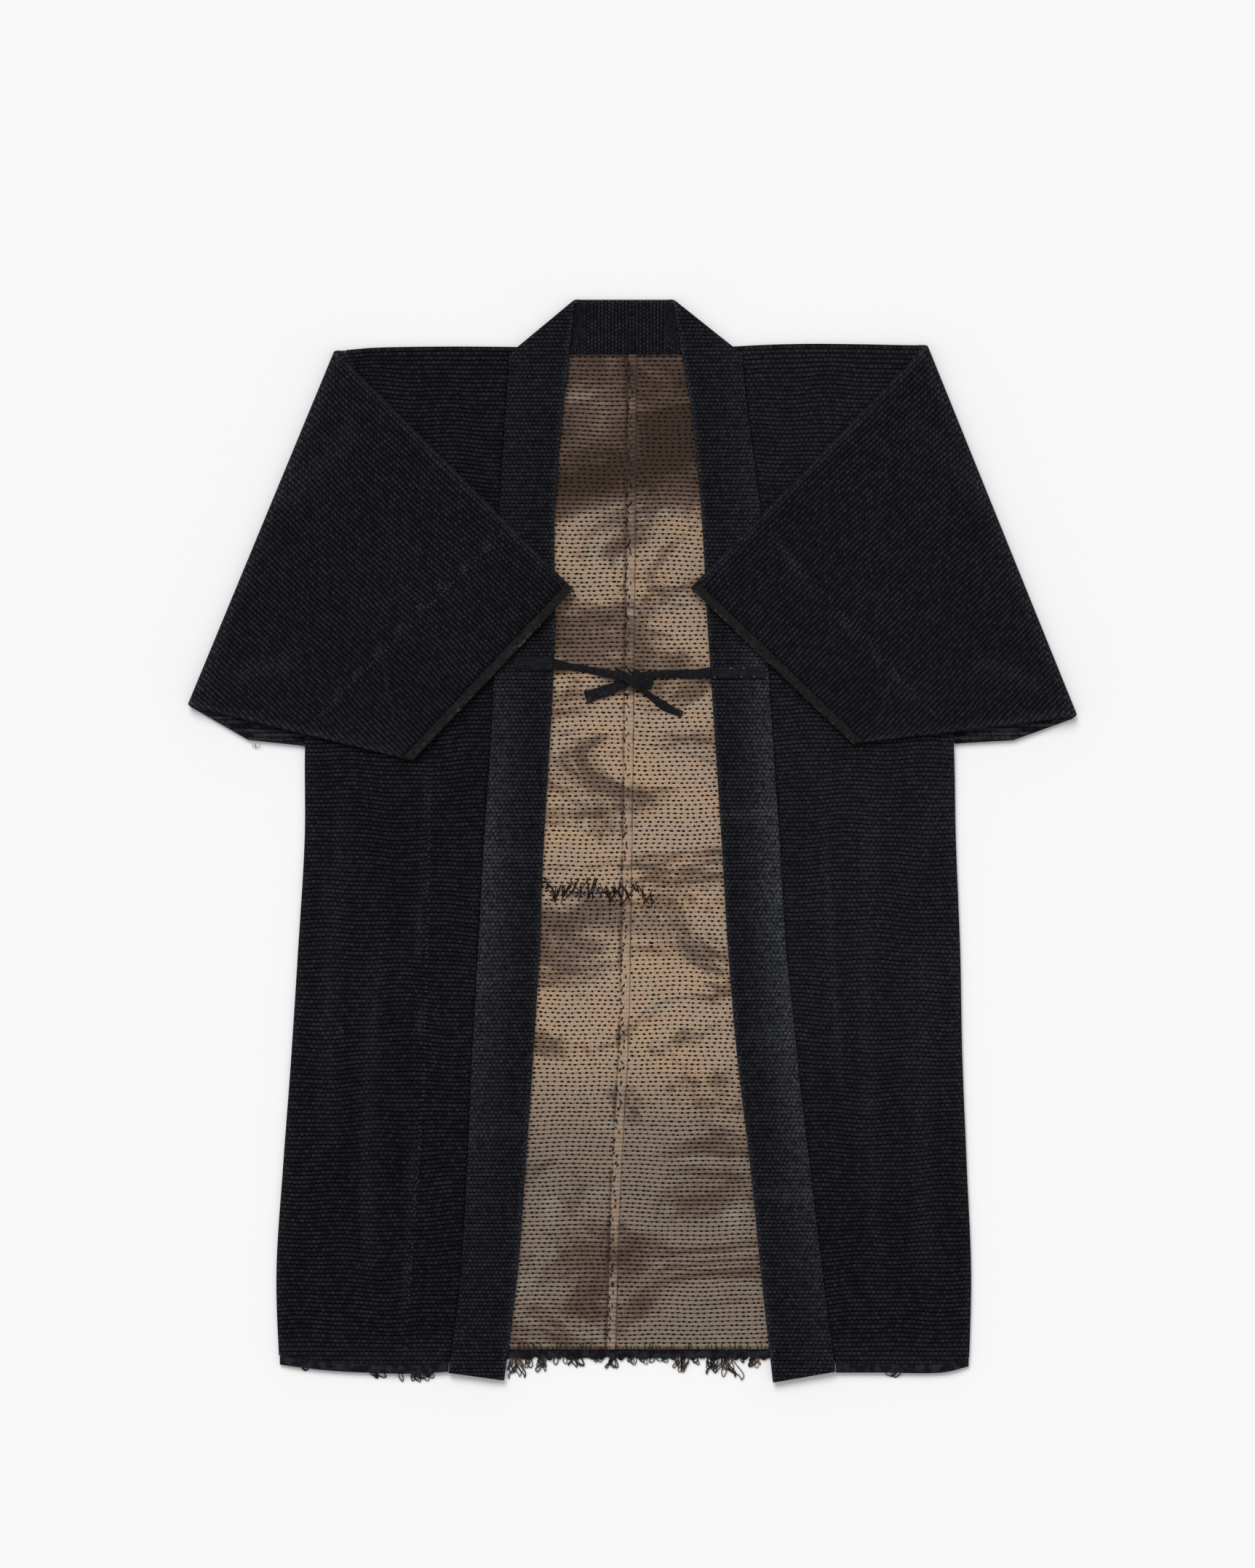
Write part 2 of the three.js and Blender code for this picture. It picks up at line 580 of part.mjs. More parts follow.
function buildCollar() {
  const cuts = SIDES.map((side) => new CollarCut(side));
  const none = () => 0;
  const odd = (i) => (i % 2 ? RIB_HEIGHT : 0);
  const even = (i) => (i % 2 ? 0 : RIB_HEIGHT);
  const run = (neckStep, frontStep, ribOf, profile) => {
    const [right, left] = cuts.map((cut) => cut.stations(neckStep, frontStep, ribOf)
      .map((station) => profile.map(([t, z, lift]) => cut.point(station, t, z + lift * station.rib))));
    return [...left.reverse(), ...right.slice(1)];
  };
  const plain = { neck: none, front: none };
  const rim = 1 - 1.6 / NECK_BAND_WIDTH;
  const slit = 1 - 2.6 / NECK_BAND_WIDTH;
  const middle = COLLAR_DEPTH / 2;
  const under = [[0, 0, -1], [0.5, 0, -1], [rim, 0, -1]];
  const over = [[0, COLLAR_DEPTH, 1], [0.5, COLLAR_DEPTH, 1], [rim, COLLAR_DEPTH, 1]];
  const cutEdges = [[1, middle, 0], [0, COLLAR.ply + COLLAR.slit, 0], [slit, middle, 0], [0, COLLAR.ply, 0]];
  const lower = run(COARSE_STEP, COLLAR_RIB_PITCH / 2, { neck: none, front: even }, under);
  const upper = run(NECK_RIB_PITCH / 2, COARSE_STEP, { neck: odd, front: none }, over);
  const edges = run(COARSE_STEP, COARSE_STEP, plain, cutEdges);
  const [nose, overCut, slitEnd, underCut] = cutEdges.map((_, i) => edges.map((line) => line[i]));
  const skin = new Skin();
  skin.sheet(lower);
  skin.sheet(upper);
  skin.sheet([final(lower), nose, final(upper)]);
  skin.sheet([first(upper), overCut, slitEnd, underCut, first(lower)]);
  [0, -1].forEach((end) => {
    const points = [...lower.at(end), edges.at(end)[0], ...upper.at(end).toReversed(), ...edges.at(end).slice(1)];
    const section = [...under, cutEdges[0], ...over.toReversed(), ...cutEdges.slice(1)];
    skin.cap(points, section.map(([t, z]) => [t * NECK_BAND_WIDTH, z]));
  });
  addPiece('collar', skin.geometry(1), COLOURS.collar);
}

// A thin thing swept along a smooth path: its sections are flat ovals, level across.
function sweep(path, width, thickness, { sides, step, taper = 1 }) {
  const curve = new THREE.CatmullRomCurve3(path.map((p) => new THREE.Vector3(...p)));
  const rings = steps(0, 1, step / curve.getLength()).map((t) => {
    const middle = curve.getPointAt(t);
    const along = curve.getTangentAt(t);
    const across = new THREE.Vector3(-along.y, along.x, 0).normalize();
    const upwards = new THREE.Vector3().crossVectors(along, across);
    const size = lerp(1, taper, t) / 2;
    return Array.from({ length: sides + 1 }, (_, i) => {
      const angle = (2 * Math.PI * (i % sides + 0.5)) / sides;
      return middle.clone()
        .addScaledVector(across, width * size * Math.cos(angle))
        .addScaledVector(upwards, thickness * size * Math.sin(angle));
    });
  });
  const skin = new Skin();
  skin.sheet(rings);
  const section = rings[0].slice(0, sides).map((_, i) => {
    const angle = (2 * Math.PI * i) / sides;
    return [Math.cos(angle), Math.sin(angle)];
  });
  [rings[0], rings.at(-1)].forEach((ring) => skin.cap(ring, section));
  return skin.geometry(1);
}

const wasm = await Module();
wasm.setup();

function solid(geometry) {
  const vertProperties = new Float32Array(geometry.getAttribute('position').array);
  const triVerts = new Uint32Array(geometry.getIndex().array);
  return new wasm.Manifold(new wasm.Mesh({ numProp: 3, vertProperties, triVerts }));
}

function fuse(geometries) {
  const joined = geometries.map(solid).reduce((sum, next) => sum.add(next)).getMesh();
  const geometry = new THREE.BufferGeometry();
  geometry.setAttribute('position', new THREE.BufferAttribute(joined.vertProperties, 3));
  geometry.setIndex(new THREE.BufferAttribute(joined.triVerts, 1));
  return geometry;
}

// Loops of worn thread that hang from a hem band: rooted in it, level, and ending over the floor.
function frayStrands(frays, hemAt, rootZ, tipZ) {
  return frays.flatMap(({ x, count, spread, length }) => steps(0, 1, 1 / (count - 1)).map((t, i) => {
    const rootX = x + (t - 0.5) * spread;
    const lean = 1.8 * Math.sin(2.4 * i + x);
    const reach = length * (0.72 + 0.28 * Math.cos(1.7 * i + x));
    const y = hemAt(rootX);
    const path = [
      [rootX, y + 2, rootZ],
      [rootX + lean * 0.3, y - reach * 0.4, lerp(rootZ, tipZ, 0.5)],
      [rootX + lean, y - reach, tipZ],
    ];
    return sweep(path, 1.3, 1.1, { sides: 3, step: 6, taper: 0.7 });
  }));
}

// A band along a hem, from its upper line to its lower one, level with the cloth that it edges.
function hemBand(places, upperAt, lowerAt, low, high, sinkAt) {
  const line = (yAt, z) => places.map((x) => new THREE.Vector3(x, yAt(x), z - sinkAt(x)));
  const [upperTop, lowerTop] = [line(upperAt, high), line(lowerAt, high)];
  const [upperLow, lowerLow] = [line(upperAt, low), line(lowerAt, low)];
  const skin = new Skin();
  skin.sheet([upperTop, lowerTop, lowerLow, upperLow, upperTop]);
  [0, -1].forEach((end) => {
    const corners = [upperTop, lowerTop, lowerLow, upperLow].map((points) => points.at(end));
    skin.cap(corners, [[0, 1], [1, 1], [1, 0], [0, 0]]);
  });
  return skin.geometry(1);
}

function buildHems() {
  const [right, left] = SIDES;
  const backEnd = (side) => side.sign * (sideEdge(side, BACK_HEM_Y) - SIDE_SINK.width - 2);
  const backPlaces = steps(backEnd(right), backEnd(left), COARSE_STEP);
  const band = hemBand(backPlaces, () => BACK_HEM_Y + HEM_BAND, () => BACK_HEM_Y, 0, 2.6, () => 0);
  const strands = frayStrands(BACK_FRAYS, () => BACK_HEM_Y, 1.4, 0.9);
  addPiece('back_hem', fuse([band, ...strands]), COLOURS.indigo);

  SIDES.forEach((side) => {
    const ends = [seamEdge(side, -488) + SEAM_GAP, sideEdge(side, -480) - SEAM_GAP];
    const places = steps(...ends, COARSE_STEP / 2).map((across) => side.sign * across);
    const lower = (x) => hemLine(side, side.sign * x);
    const sink = (x) => sideSink(side, side.sign * x, lower(x)) - swell(side.sign * x, lower(x), side.sign);
    const edge = hemBand(places, (x) => lower(x) + HEM_BAND, lower, FRONT.low, FRONT.high, sink);
    const frays = side.frays.map(({ across, ...rest }) => ({ ...rest, x: side.sign * across }));
    const worn = frayStrands(frays, lower, FRONT.low + 1.2, FRONT.low - 1);
    addPiece(`front_hem_${side.name}`, fuse([edge, ...worn]), COLOURS.indigo);
  });
}

// The tabs lie on the collar; the tapes leave them at the collar's free edge and are knotted.
function buildTies() {
  const collarTop = FRONT.low + COLLAR_DEPTH + RIB_HEIGHT + SEAM_GAP;
  TIES.tabs.forEach(({ name, sign, from, to, y, width }) => {
    const places = steps(from, to, COARSE_STEP / 3).map((across) => sign * across);
    const lift = (x) => -swell(sign * x, y, sign);
    const [upper, lower] = [y + width / 2, y - width / 2];
    const tab = hemBand(places, () => upper, () => lower, collarTop, collarTop + TAPE.thickness, lift);
    addPiece(name, tab, COLOURS.tie);
  });
  TIES.tapes.forEach(({ name, width, thickness, taper, points }) => {
    addPiece(name, sweep(points, width, thickness, { sides: 8, step: width / 2, taper }), COLOURS.tie);
  });
  const knot = new THREE.SphereGeometry(1, 14, 10);
  knot.deleteAttribute('normal');
  knot.deleteAttribute('uv');
  const round = mergeVertices(knot, 1e-4);
  const at = round.getAttribute('position');
  const [sizeX, sizeY, sizeZ] = KNOT.size;
  const swollen = (v, size) => (Math.sign(v) * Math.abs(v) ** KNOT.squareness * size) / 2;
  for (let i = 0; i < at.count; i += 1) {
    at.setXYZ(i, swollen(at.getX(i), sizeX), swollen(at.getY(i), sizeY), swollen(at.getZ(i), sizeZ));
  }
  const mesh = addPiece('tie_knot', round, COLOURS.tie);
  mesh.position.set(...KNOT.centre);
  mesh.rotation.z = KNOT.turn;
}

for (const side of SIDES) {
  buildBody(side);
  buildLining(side);
  buildSleeve(side);
}
buildCollar();
buildHems();
buildTies();

export default coat;
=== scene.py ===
"""A noragi laid flat: a work coat of indigo cotton, quilted all over with rows of running stitch.

Sizes are in millimetres. Most shapes are worked out in "across" numbers, measured outwards from the
centre back seam, and a side's sign then sends them to the wearer's right (-X) or left (+X).
"""

import logging
import math
from collections.abc import Callable
from dataclasses import dataclass
from enum import Enum
from functools import partial
from typing import ClassVar

import bpy
import numpy as np
from bpy.types import Material, Node, NodeSocket, NodeTree, Object
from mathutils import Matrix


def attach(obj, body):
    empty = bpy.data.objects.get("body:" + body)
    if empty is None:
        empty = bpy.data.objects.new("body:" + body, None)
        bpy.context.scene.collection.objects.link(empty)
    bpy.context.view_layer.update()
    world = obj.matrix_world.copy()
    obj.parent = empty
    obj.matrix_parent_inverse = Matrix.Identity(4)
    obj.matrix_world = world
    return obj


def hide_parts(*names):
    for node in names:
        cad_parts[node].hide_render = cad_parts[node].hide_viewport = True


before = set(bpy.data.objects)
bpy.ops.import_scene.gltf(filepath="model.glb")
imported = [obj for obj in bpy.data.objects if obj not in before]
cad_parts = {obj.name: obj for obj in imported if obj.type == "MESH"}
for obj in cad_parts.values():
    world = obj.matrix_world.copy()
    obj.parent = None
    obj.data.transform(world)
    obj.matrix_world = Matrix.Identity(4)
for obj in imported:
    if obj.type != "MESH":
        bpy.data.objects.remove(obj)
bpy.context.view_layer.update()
LOG = logging.getLogger("noragi")
Array = np.ndarray
Point = tuple[float, float]
Line = tuple[Point, Point]

MM = 0.001
BODY = "root"

# Where the layers of cloth lie, in millimetres above the floor.
SEAM_GAP = 0.3
BACK_CLOTH = 1.5
LINING_LOW = 1.8
LINING_HIGH = 2.4
LINING_INSET = 14.0
FRONT_LOW = 3.0
FRONT_HIGH = 5.4
SLEEVE_PLY = 2.4
SLEEVE_SLIT = 0.4
SLEEVE_DEPTH = 2 * SLEEVE_PLY + SLEEVE_SLIT
SLEEVE_FOLD_CENTRE = 5.8
FLAP_TOP = 2 * SLEEVE_FOLD_CENTRE
COLLAR_PLY = 1.9
COLLAR_SLIT = 0.4
COLLAR_DEPTH = 2 * COLLAR_PLY + COLLAR_SLIT
TAB_BASE = FRONT_LOW + COLLAR_DEPTH + 0.5 + SEAM_GAP

# How the cloth waves and sinks at rest.
WAVE_HEIGHT = 0.5
SIDE_SINK = 1.2
SIDE_SINK_WIDTH = 12.0
COLLAR_UNDER_FLAP = 1.6

# Lengths along the coat and its finished edges.
SHOULDER_Y = 455.0
NECK_SEAM_Y = 448.9
NECK_BAND_WIDTH = 50.0
NECK_CLEARANCE = 15.0
COLLAR_FAN = 12.0
FRONT_REACH = 490.0
HEM_BAND = 8.3
BACK_HEM_Y = -476.4
LINING_EDGE_Y = BACK_HEM_Y + HEM_BAND
CUFF_BINDING = 8.3
BINDING_EXTRA = 0.6

# Stitch rows, from ridge to ridge, and how far the cloth stands up between them.
ROW_PITCH = 4.0
COLLAR_ROW_PITCH = 3.6
NECK_ROW_PITCH = 3.2
ROW_HEIGHT = 0.5
SAMPLES_PER_ROW = 4
COLLAR_SAMPLES_PER_ROW = 3
STITCH_PITCH = 5.9
SEAM_STITCH_INSET = 5.4

# The photograph's frame on the floor.
PHOTO_HEIGHT = 1444.5
PHOTO_MIDDLE = (-4.0, 52.9)
CAMERA_HEIGHT = 6000.0
LONG_SIDE_SENSOR = 36.0


class Half(Enum):
    """The wearer's right and left, by the sign that they have on X."""

    RIGHT = -1
    LEFT = 1


def ease(t: Array | float) -> Array:
    """Rises smoothly from 0 to 1 as t does."""
    t = np.clip(t, 0.0, 1.0)
    return t * t * (3.0 - 2.0 * t)


def lerp(a: Array | float, b: Array | float, t: Array | float) -> Array:
    """The value that lies t of the way from a to b."""
    return a + (b - a) * t


def steps(start: float, end: float, step: float) -> Array:
    """Evenly spaced places from start to end, at most a step apart."""
    count = max(1, math.ceil(abs(end - start) / step - 1e-9))
    return np.linspace(start, end, count + 1)


def stack(*coordinates: Array | float) -> Array:
    """Points from their coordinates, which are spread to a common shape."""
    return np.stack(np.broadcast_arrays(*coordinates), axis=-1).astype(float)


def closed(grid: Array) -> Array:
    """A grid with its first column again at its end, as round a tube."""
    return np.concatenate([grid, grid[:, :1]], axis=1)


@dataclass(frozen=True)
class Table:
    """A short table of places along an edge, read as a smooth line."""

    columns: tuple[str, ...]
    rows: tuple[tuple[float, ...], ...]

    def read(self, by: str, at: Array | float, give: str) -> Array:
        """Reads one column at places on another.

        Args:
            by: the column that the places are on.
            at: the places.
            give: the column to read.

        Returns:
            The column's values at those places.
        """
        at = np.asarray(at, float)
        ordered = sorted(self.rows, key=lambda row: row[self.columns.index(by)])
        x = np.array([row[self.columns.index(by)] for row in ordered])
        v = np.array([row[self.columns.index(give)] for row in ordered])
        last = len(x) - 1
        i = np.clip(np.searchsorted(x, at, side="left") - 1, 0, last - 1)
        before, after = np.maximum(i - 1, 0), np.minimum(i + 2, last)
        span = x[i + 1] - x[i]
        t = np.clip((at - x[i]) / span, 0.0, 1.0)
        slope_a = (v[i + 1] - v[before]) / (x[i + 1] - x[before]) * span
        slope_b = (v[after] - v[i]) / (x[after] - x[i]) * span
        t2, t3 = t * t, t * t * t
        ends = (2 * t3 - 3 * t2 + 1) * v[i] + (3 * t2 - 2 * t3) * v[i + 1]
        return ends + (t3 - 2 * t2 + t) * slope_a + (t3 - t2) * slope_b


@dataclass(frozen=True)
class SidePattern:
    """The cut of one half of the coat, as it lies. Points are (across, y)."""

    half: Half
    armhole_top: Point
    armhole_bottom: Point
    sleeve_fold: Line
    sleeve_top: Line
    sleeve_under: Table
    cuff_top: float
    cuff_bottom: float
    neck_fold: Line
    neck_run: float
    outline: Table
    hem: Table
    collar_end: float
    collar_tilt: float

    @property
    def sign(self) -> int:
        """The sign of this half on X."""
        return self.half.value

    @property
    def name(self) -> str:
        """The half's name, as its nodes use it."""
        return self.half.name.lower()

    @property
    def neck_slope(self) -> float:
        """How far the collar's fold runs inwards for each millimetre upwards."""
        (low_x, low_y), (high_x, high_y) = self.neck_fold
        return (low_x - high_x) / (high_y - low_y)

    @property
    def neck_end(self) -> float:
        """Where the body's cloth ends beside the neck."""
        return self.neck_fold[0][0] + 2 * SEAM_GAP

    def side_edge(self, y: Array) -> Array:
        """The armhole seam, and below it the side edge.

        Args:
            y: places along the coat.

        Returns:
            The edge's distance from the middle.
        """
        (top_x, top_y), (low_x, low_y) = self.armhole_top, self.armhole_bottom
        armhole = lerp(low_x, top_x, (y - low_y) / (top_y - low_y))
        return np.where(y < low_y, self.outline.read("y", y, "side"), armhole)

    def seam_edge(self, y: Array) -> Array:
        """The seam between the front and the collar."""
        return self.outline.read("y", y, "seam")

    def free_edge(self, y: Array) -> Array:
        """The collar's folded edge."""
        return self.outline.read("y", y, "free")

    def centre_edge(self, y: Array) -> Array:
        """This half's side of the centre back seam."""
        return self.sign * CENTRE_SEAM.read("y", y, "x") + SEAM_GAP / 2

    def side_sink(self, across: Array, y: Array) -> Array:
        """How far the front sinks onto the back along the side seam."""
        near = ease((across - self.side_edge(y) + SIDE_SINK_WIDTH) / SIDE_SINK_WIDTH)
        return SIDE_SINK * near * ease((self.armhole_bottom[1] - y) / 30.0)

    def swell(self, across: Array, y: Array) -> Array:
        """The low waves of cloth at rest, shared by every layer above the lining.

        Args:
            across: places across the half.
            y: places along it.

        Returns:
            Their heights.
        """
        x = self.sign * across
        inside = ease((262.0 - across) / 62.0) * ease((NECK_SEAM_Y - y) / 50.0)
        waves = 1 + 0.6 * np.sin(x / 47 + y / 95) + 0.4 * np.sin(y / 61 - x / 120)
        return WAVE_HEIGHT * inside * waves

    def flap_lift(self, across: Array, y: Array) -> Array:
        """How far the folded sleeve is lifted where it crosses the collar, waves included."""
        seam = self.seam_edge(np.minimum(y, NECK_SEAM_Y))
        return self.swell(across, y) + COLLAR_UNDER_FLAP * np.clip((seam + 90.0 - across) / 80.0, 0, 1)


OUTLINE = ("y", "side", "seam", "free")
CENTRE_SEAM = Table(("y", "x"), ((449, 5), (100, 1.5), (-180, -3), (-310, -10), (-477, -15)))
RIGHT = SidePattern(
    half=Half.RIGHT,
    armhole_top=(263.5, 452),
    armhole_bottom=(302, 88),
    sleeve_fold=((274.4, 450.2), (408.4, 126.6)),
    sleeve_top=((263.5, 452), (583.8, 451.3)),
    sleeve_under=Table(("across", "y"), ((302, 88), (334, 88), (360, 97), (590, 235))),
    cuff_top=583.8,
    cuff_bottom=590,
    neck_fold=((113, 448.9), (53.3, 498.5)),
    neck_run=44,
    outline=Table(OUTLINE, (
        (448, 264, 112, 57), (400, 269, 116, 63), (300, 280, 122, 71), (200, 290, 125, 70.5),
        (100, 300.5, 129, 75), (0, 301.5, 136, 81), (-100, 307.5, 141.5, 85), (-200, 314, 147, 91),
        (-300, 321.5, 151.5, 98), (-400, 327.5, 157.5, 105.5), (-500, 324, 170, 118),
    )),
    hem=Table(("across", "y"), ((165, -488), (200, -490), (232, -489.5), (281, -487), (330, -481))),
    collar_end=-489.5,
    collar_tilt=7,
)
LEFT = SidePattern(
    half=Half.LEFT,
    armhole_top=(262.5, 457),
    armhole_bottom=(297, 90),
    sleeve_fold=((271.7, 457.6), (407.7, 121.3)),
    sleeve_top=((262.5, 457.3), (583, 447.2)),
    sleeve_under=Table(("across", "y"), ((297, 90), (330, 93.5), (364, 94), (394, 105), (575, 240))),
    cuff_top=583,
    cuff_bottom=575,
    neck_fold=((101.5, 448.9), (39.2, 498.5)),
    neck_run=30,
    outline=Table(OUTLINE, (
        (448, 263.5, 101.5, 45), (400, 268, 106, 54.5), (300, 277.5, 118.5, 64), (200, 287, 123, 69.5),
        (100, 296, 129.5, 76), (0, 298.5, 136, 82.5), (-100, 302.5, 142, 88.5), (-200, 304.5, 152, 97),
        (-300, 308.5, 164, 109), (-400, 312.5, 176, 119), (-500, 310, 189, 130),
    )),
    hem=Table(("across", "y"), ((180, -489), (230, -489), (285, -489), (315, -482))),
    collar_end=-489,
    collar_tilt=10,
)
SIDES = (RIGHT, LEFT)


@dataclass(frozen=True)
class Fold:
    """A straight fold: cloth past the line turns up and over and lies back on itself."""

    line: Line
    outwards: Point
    centre: float
    neutral: float

    @property
    def normal(self) -> Array:
        """The direction across the fold, out of the cloth that stays flat."""
        (x0, y0), (x1, y1) = self.line
        normal = np.array([-(y1 - y0), x1 - x0]) / math.hypot(x1 - x0, y1 - y0)
        return normal if normal @ np.array(self.outwards) > 0 else -normal

    @property
    def foot(self) -> Array:
        """A point where the bend begins."""
        return np.array(self.line[0]) - self.centre * self.normal

    @property
    def turn(self) -> float:
        """The length of cloth in the bend."""
        return math.pi * self.neutral

    def past(self, x: Array, y: Array) -> Array:
        """How far points of the unfolded cloth lie past the start of the bend."""
        return (x - self.foot[0]) * self.normal[0] + (y - self.foot[1]) * self.normal[1]

    def over(self, x: Array, y: Array, z: Array | float) -> Array:
        """Where points of the unfolded cloth come to lie.

        Args:
            x: places of the points across the coat.
            y: their places along it.
            z: their heights in the unfolded cloth.

        Returns:
            The points of the folded cloth.
        """
        s = self.past(x, y)
        angle = np.clip(s / self.neutral, 0.0, math.pi)
        radius = self.centre - z
        out = radius * np.sin(angle) - np.maximum(0.0, s - self.turn) - s
        out = np.where(s > 0, out, 0.0)
        height = np.where(s > 0, self.centre - radius * np.cos(angle), z)
        return stack(x + out * self.normal[0], y + out * self.normal[1], height)

    def flat(self, x: Array, y: Array) -> tuple[Array, Array]:
        """Where points of the folded-over cloth were before the fold."""
        shift = self.turn - 2 * self.past(x, y)
        return x + shift * self.normal[0], y + shift * self.normal[1]


@dataclass(frozen=True)
class Crease:
    """A soft ridge or trough along a straight stretch of cloth, paler where it is worn."""

    start: Point
    end: Point
    width: float
    height: float
    wear: float = 0.0

    def strength(self, x: Array, y: Array) -> Array:
        """How strongly the crease acts at points: 1 on its line, and 0 well away from it.

        Args:
            x: places across the coat.
            y: places along it.

        Returns:
            The strengths.
        """
        (x0, y0), (x1, y1) = self.start, self.end
        long = math.hypot(x1 - x0, y1 - y0)
        along = ((x - x0) * (x1 - x0) + (y - y0) * (y1 - y0)) / long**2
        off = ((x - x0) * (y1 - y0) - (y - y0) * (x1 - x0)) / long
        bow = off - 0.02 * long * np.sin(math.pi * np.clip(along, 0.0, 1.0))
        fade = ease(along / 0.18) * ease((1.0 - along) / 0.18)
        return np.exp(-((bow / self.width) ** 2)) * fade


def relief(folds: tuple[Crease, ...], x: Array, y: Array) -> Array:
    """The height that creases add at points of the coat."""
    return sum((c.height * c.strength(x, y) for c in folds), np.zeros(np.shape(x)))


def worn(folds: tuple[Crease, ...], x: Array, y: Array) -> Array:
    """How worn the cloth is at points, by its creases."""
    return sum((c.wear * c.strength(x, y) for c in folds), np.zeros(np.shape(x)))


def creases(*rows: tuple[float, ...]) -> tuple[Crease, ...]:
    """Creases from rows of start X and Y, end X and Y, width, height and wear."""
    return tuple(Crease(row[:2], row[2:4], *row[4:]) for row in rows)


# Creases, in the coat's own X and Y.
FRONT_CREASES = creases(
    (-186, 90, -192, -230, 1.4, 0.3, 0.32), (-190, -200, -209, -478, 1.4, 0.3, 0.28),
    (-262, 60, -280, -300, 9, 0.3, 0.15), (-232, -80, -240, -420, 7, 0.25, 0.2),
    (-305, -60, -240, -110, 12, -0.3), (-310, -250, -225, -285, 14, 0.35),
    (-180, -350, -260, -400, 12, -0.3), (296, 70, 262, -20, 9, 0.5, 0.1),
    (300, -10, 240, -45, 10, -0.3), (178, 120, 205, -300, 2, 0.3, 0.25),
    (222, 80, 232, -460, 8, 0.25, 0.14), (270, -60, 276, -440, 10, 0.3, 0.14),
    (190, -200, 290, -180, 14, 0.35), (300, -330, 215, -370, 12, -0.3),
    (-250, 440, -160, 330, 12, 0.3), (240, 440, 170, 340, 12, 0.3),
)
FLAP_CREASES = creases(
    (-113.6, 288.8, -290.4, 111.9, 1.1, 0.35, 0.45), (-235.5, 205, -210, 81.7, 1.1, 0.3, 0.25),
    (-330, 300, -250, 390, 9, 0.4, 0.2), (-380, 150, -300, 170, 8, 0.5, 0.15),
    (-330, 210, -240, 190, 10, -0.35), (-210, 330, -150, 270, 12, 0.35),
    (-300, 250, -230, 300, 14, -0.35), (121.6, 288.1, 282.4, 111.9, 1.1, 0.35, 0.42),
    (246.9, 170, 222, 100, 1.1, 0.3, 0.25), (330, 300, 250, 400, 9, 0.4, 0.15),
    (385, 140, 310, 165, 8, 0.5, 0.15), (320, 190, 230, 230, 11, -0.35),
    (200, 330, 150, 280, 12, 0.35), (260, 240, 330, 260, 10, 0.4),
)
COLLAR_CREASES = creases(
    (-165, -8, -78, -14, 5, 0.4, 0.2), (-160, -60, -84, -52, 4, -0.3),
    (-150, -130, -100, -122, 6, 0.35, 0.2), (-160, -270, -92, -262, 6, 0.35, 0.15),
    (-140, 395, -60, 420, 6, 0.4), (160, 30, 80, 22, 5, 0.4, 0.25),
    (165, -80, 95, -92, 5, -0.3), (180, -190, 92, -176, 7, 0.4, 0.2),
    (190, -330, 108, -322, 6, 0.35, 0.2), (130, 395, 50, 420, 6, 0.4),
)
# Puckers that spread from the two ends of the mended tear, and the slack of the lining.
LINING_CREASES = creases(
    (8, -52, 44, -30, 4, 1), (8, -54, 50, -54, 3.5, -0.4),
    (8, -58, 46, -82, 4.5, 1), (4, -62, 26, -108, 4, 0.7),
    (-80, -46, -8, -42, 3.5, 0.9), (-78, -62, -12, -66, 4, 0.6),
    (-30, 20, 40, 60, 12, 0.7), (-60, 230, -10, 250, 12, 0.6),
    (20, 330, 50, 210, 9, 0.6), (-60, -180, -20, -260, 13, 0.7),
    (30, -200, 70, -290, 13, 0.8), (-20, -380, 60, -400, 12, 0.6),
    (-70, -340, -50, -430, 10, 0.5),
)


def linear(hex_colour: str) -> tuple[float, float, float, float]:
    """Turns an sRGB hex colour to linear values.

    Args:
        hex_colour: the colour, such as #20242c.

    Returns:
        Red, green, blue and a full alpha.
    """
    parts = [int(hex_colour[i:i + 2], 16) / 255 for i in (1, 3, 5)]
    values = [p / 12.92 if p <= 0.04045 else ((p + 0.055) / 1.055) ** 2.4 for p in parts]
    return (*values, 1.0)


def add_node(tree: NodeTree, kind: str, links: dict | list = (), **settings) -> Node:
    """Adds a shader node with its settings and links.

    Args:
        tree: the node tree.
        kind: the node's type, without the words that all of them start with. A mix is of colours.
        links: for each of its inputs, by name or number or in order, a value, or the output or node
            that feeds it by its first output, or by its colour if it is a mix.
        settings: the node's own settings.

    Returns:
        The node.
    """
    node = tree.nodes.new("ShaderNode" + kind)
    if kind == "Mix":
        node.data_type = "RGBA"
    for name, value in settings.items():
        setattr(node, name, value)
    for key, value in links.items() if isinstance(links, dict) else enumerate(links):
        if isinstance(value, Node):
            value = value.outputs[2 if value.bl_idname == "ShaderNodeMix" else 0]
        if isinstance(value, NodeSocket):
            tree.links.new(value, node.inputs[key])
        else:
            node.inputs[key].default_value = value
    return node


# Matt cotton throws back little light as shine, so its specular level is low.
CLOTH_SHINE = 0.04
# Cotton's short fibres are neither sleek nor felted.
SHEEN_ROUGHNESS = 0.5


def cloth_shader(add: Callable[..., Node], colour: Node, bump: Node, roughness: float,
                 sheen: float) -> None:
    """Ends a cloth's node tree: a rough shader with little shine and a soft sheen.

    Args:
        add: adds a node to the material.
        colour: the node that gives the colour.
        bump: the node that gives the bumped normal.
        roughness: how rough the threads are.
        sheen: the weight of the fibres' sheen.
    """
    shader = add("BsdfPrincipled", {
        "Base Color": colour, "Normal": bump, "Roughness": roughness, "Specular IOR Level": CLOTH_SHINE,
        "Sheen Weight": sheen, "Sheen Roughness": SHEEN_ROUGHNESS})
    add("OutputMaterial", {"Surface": shader})


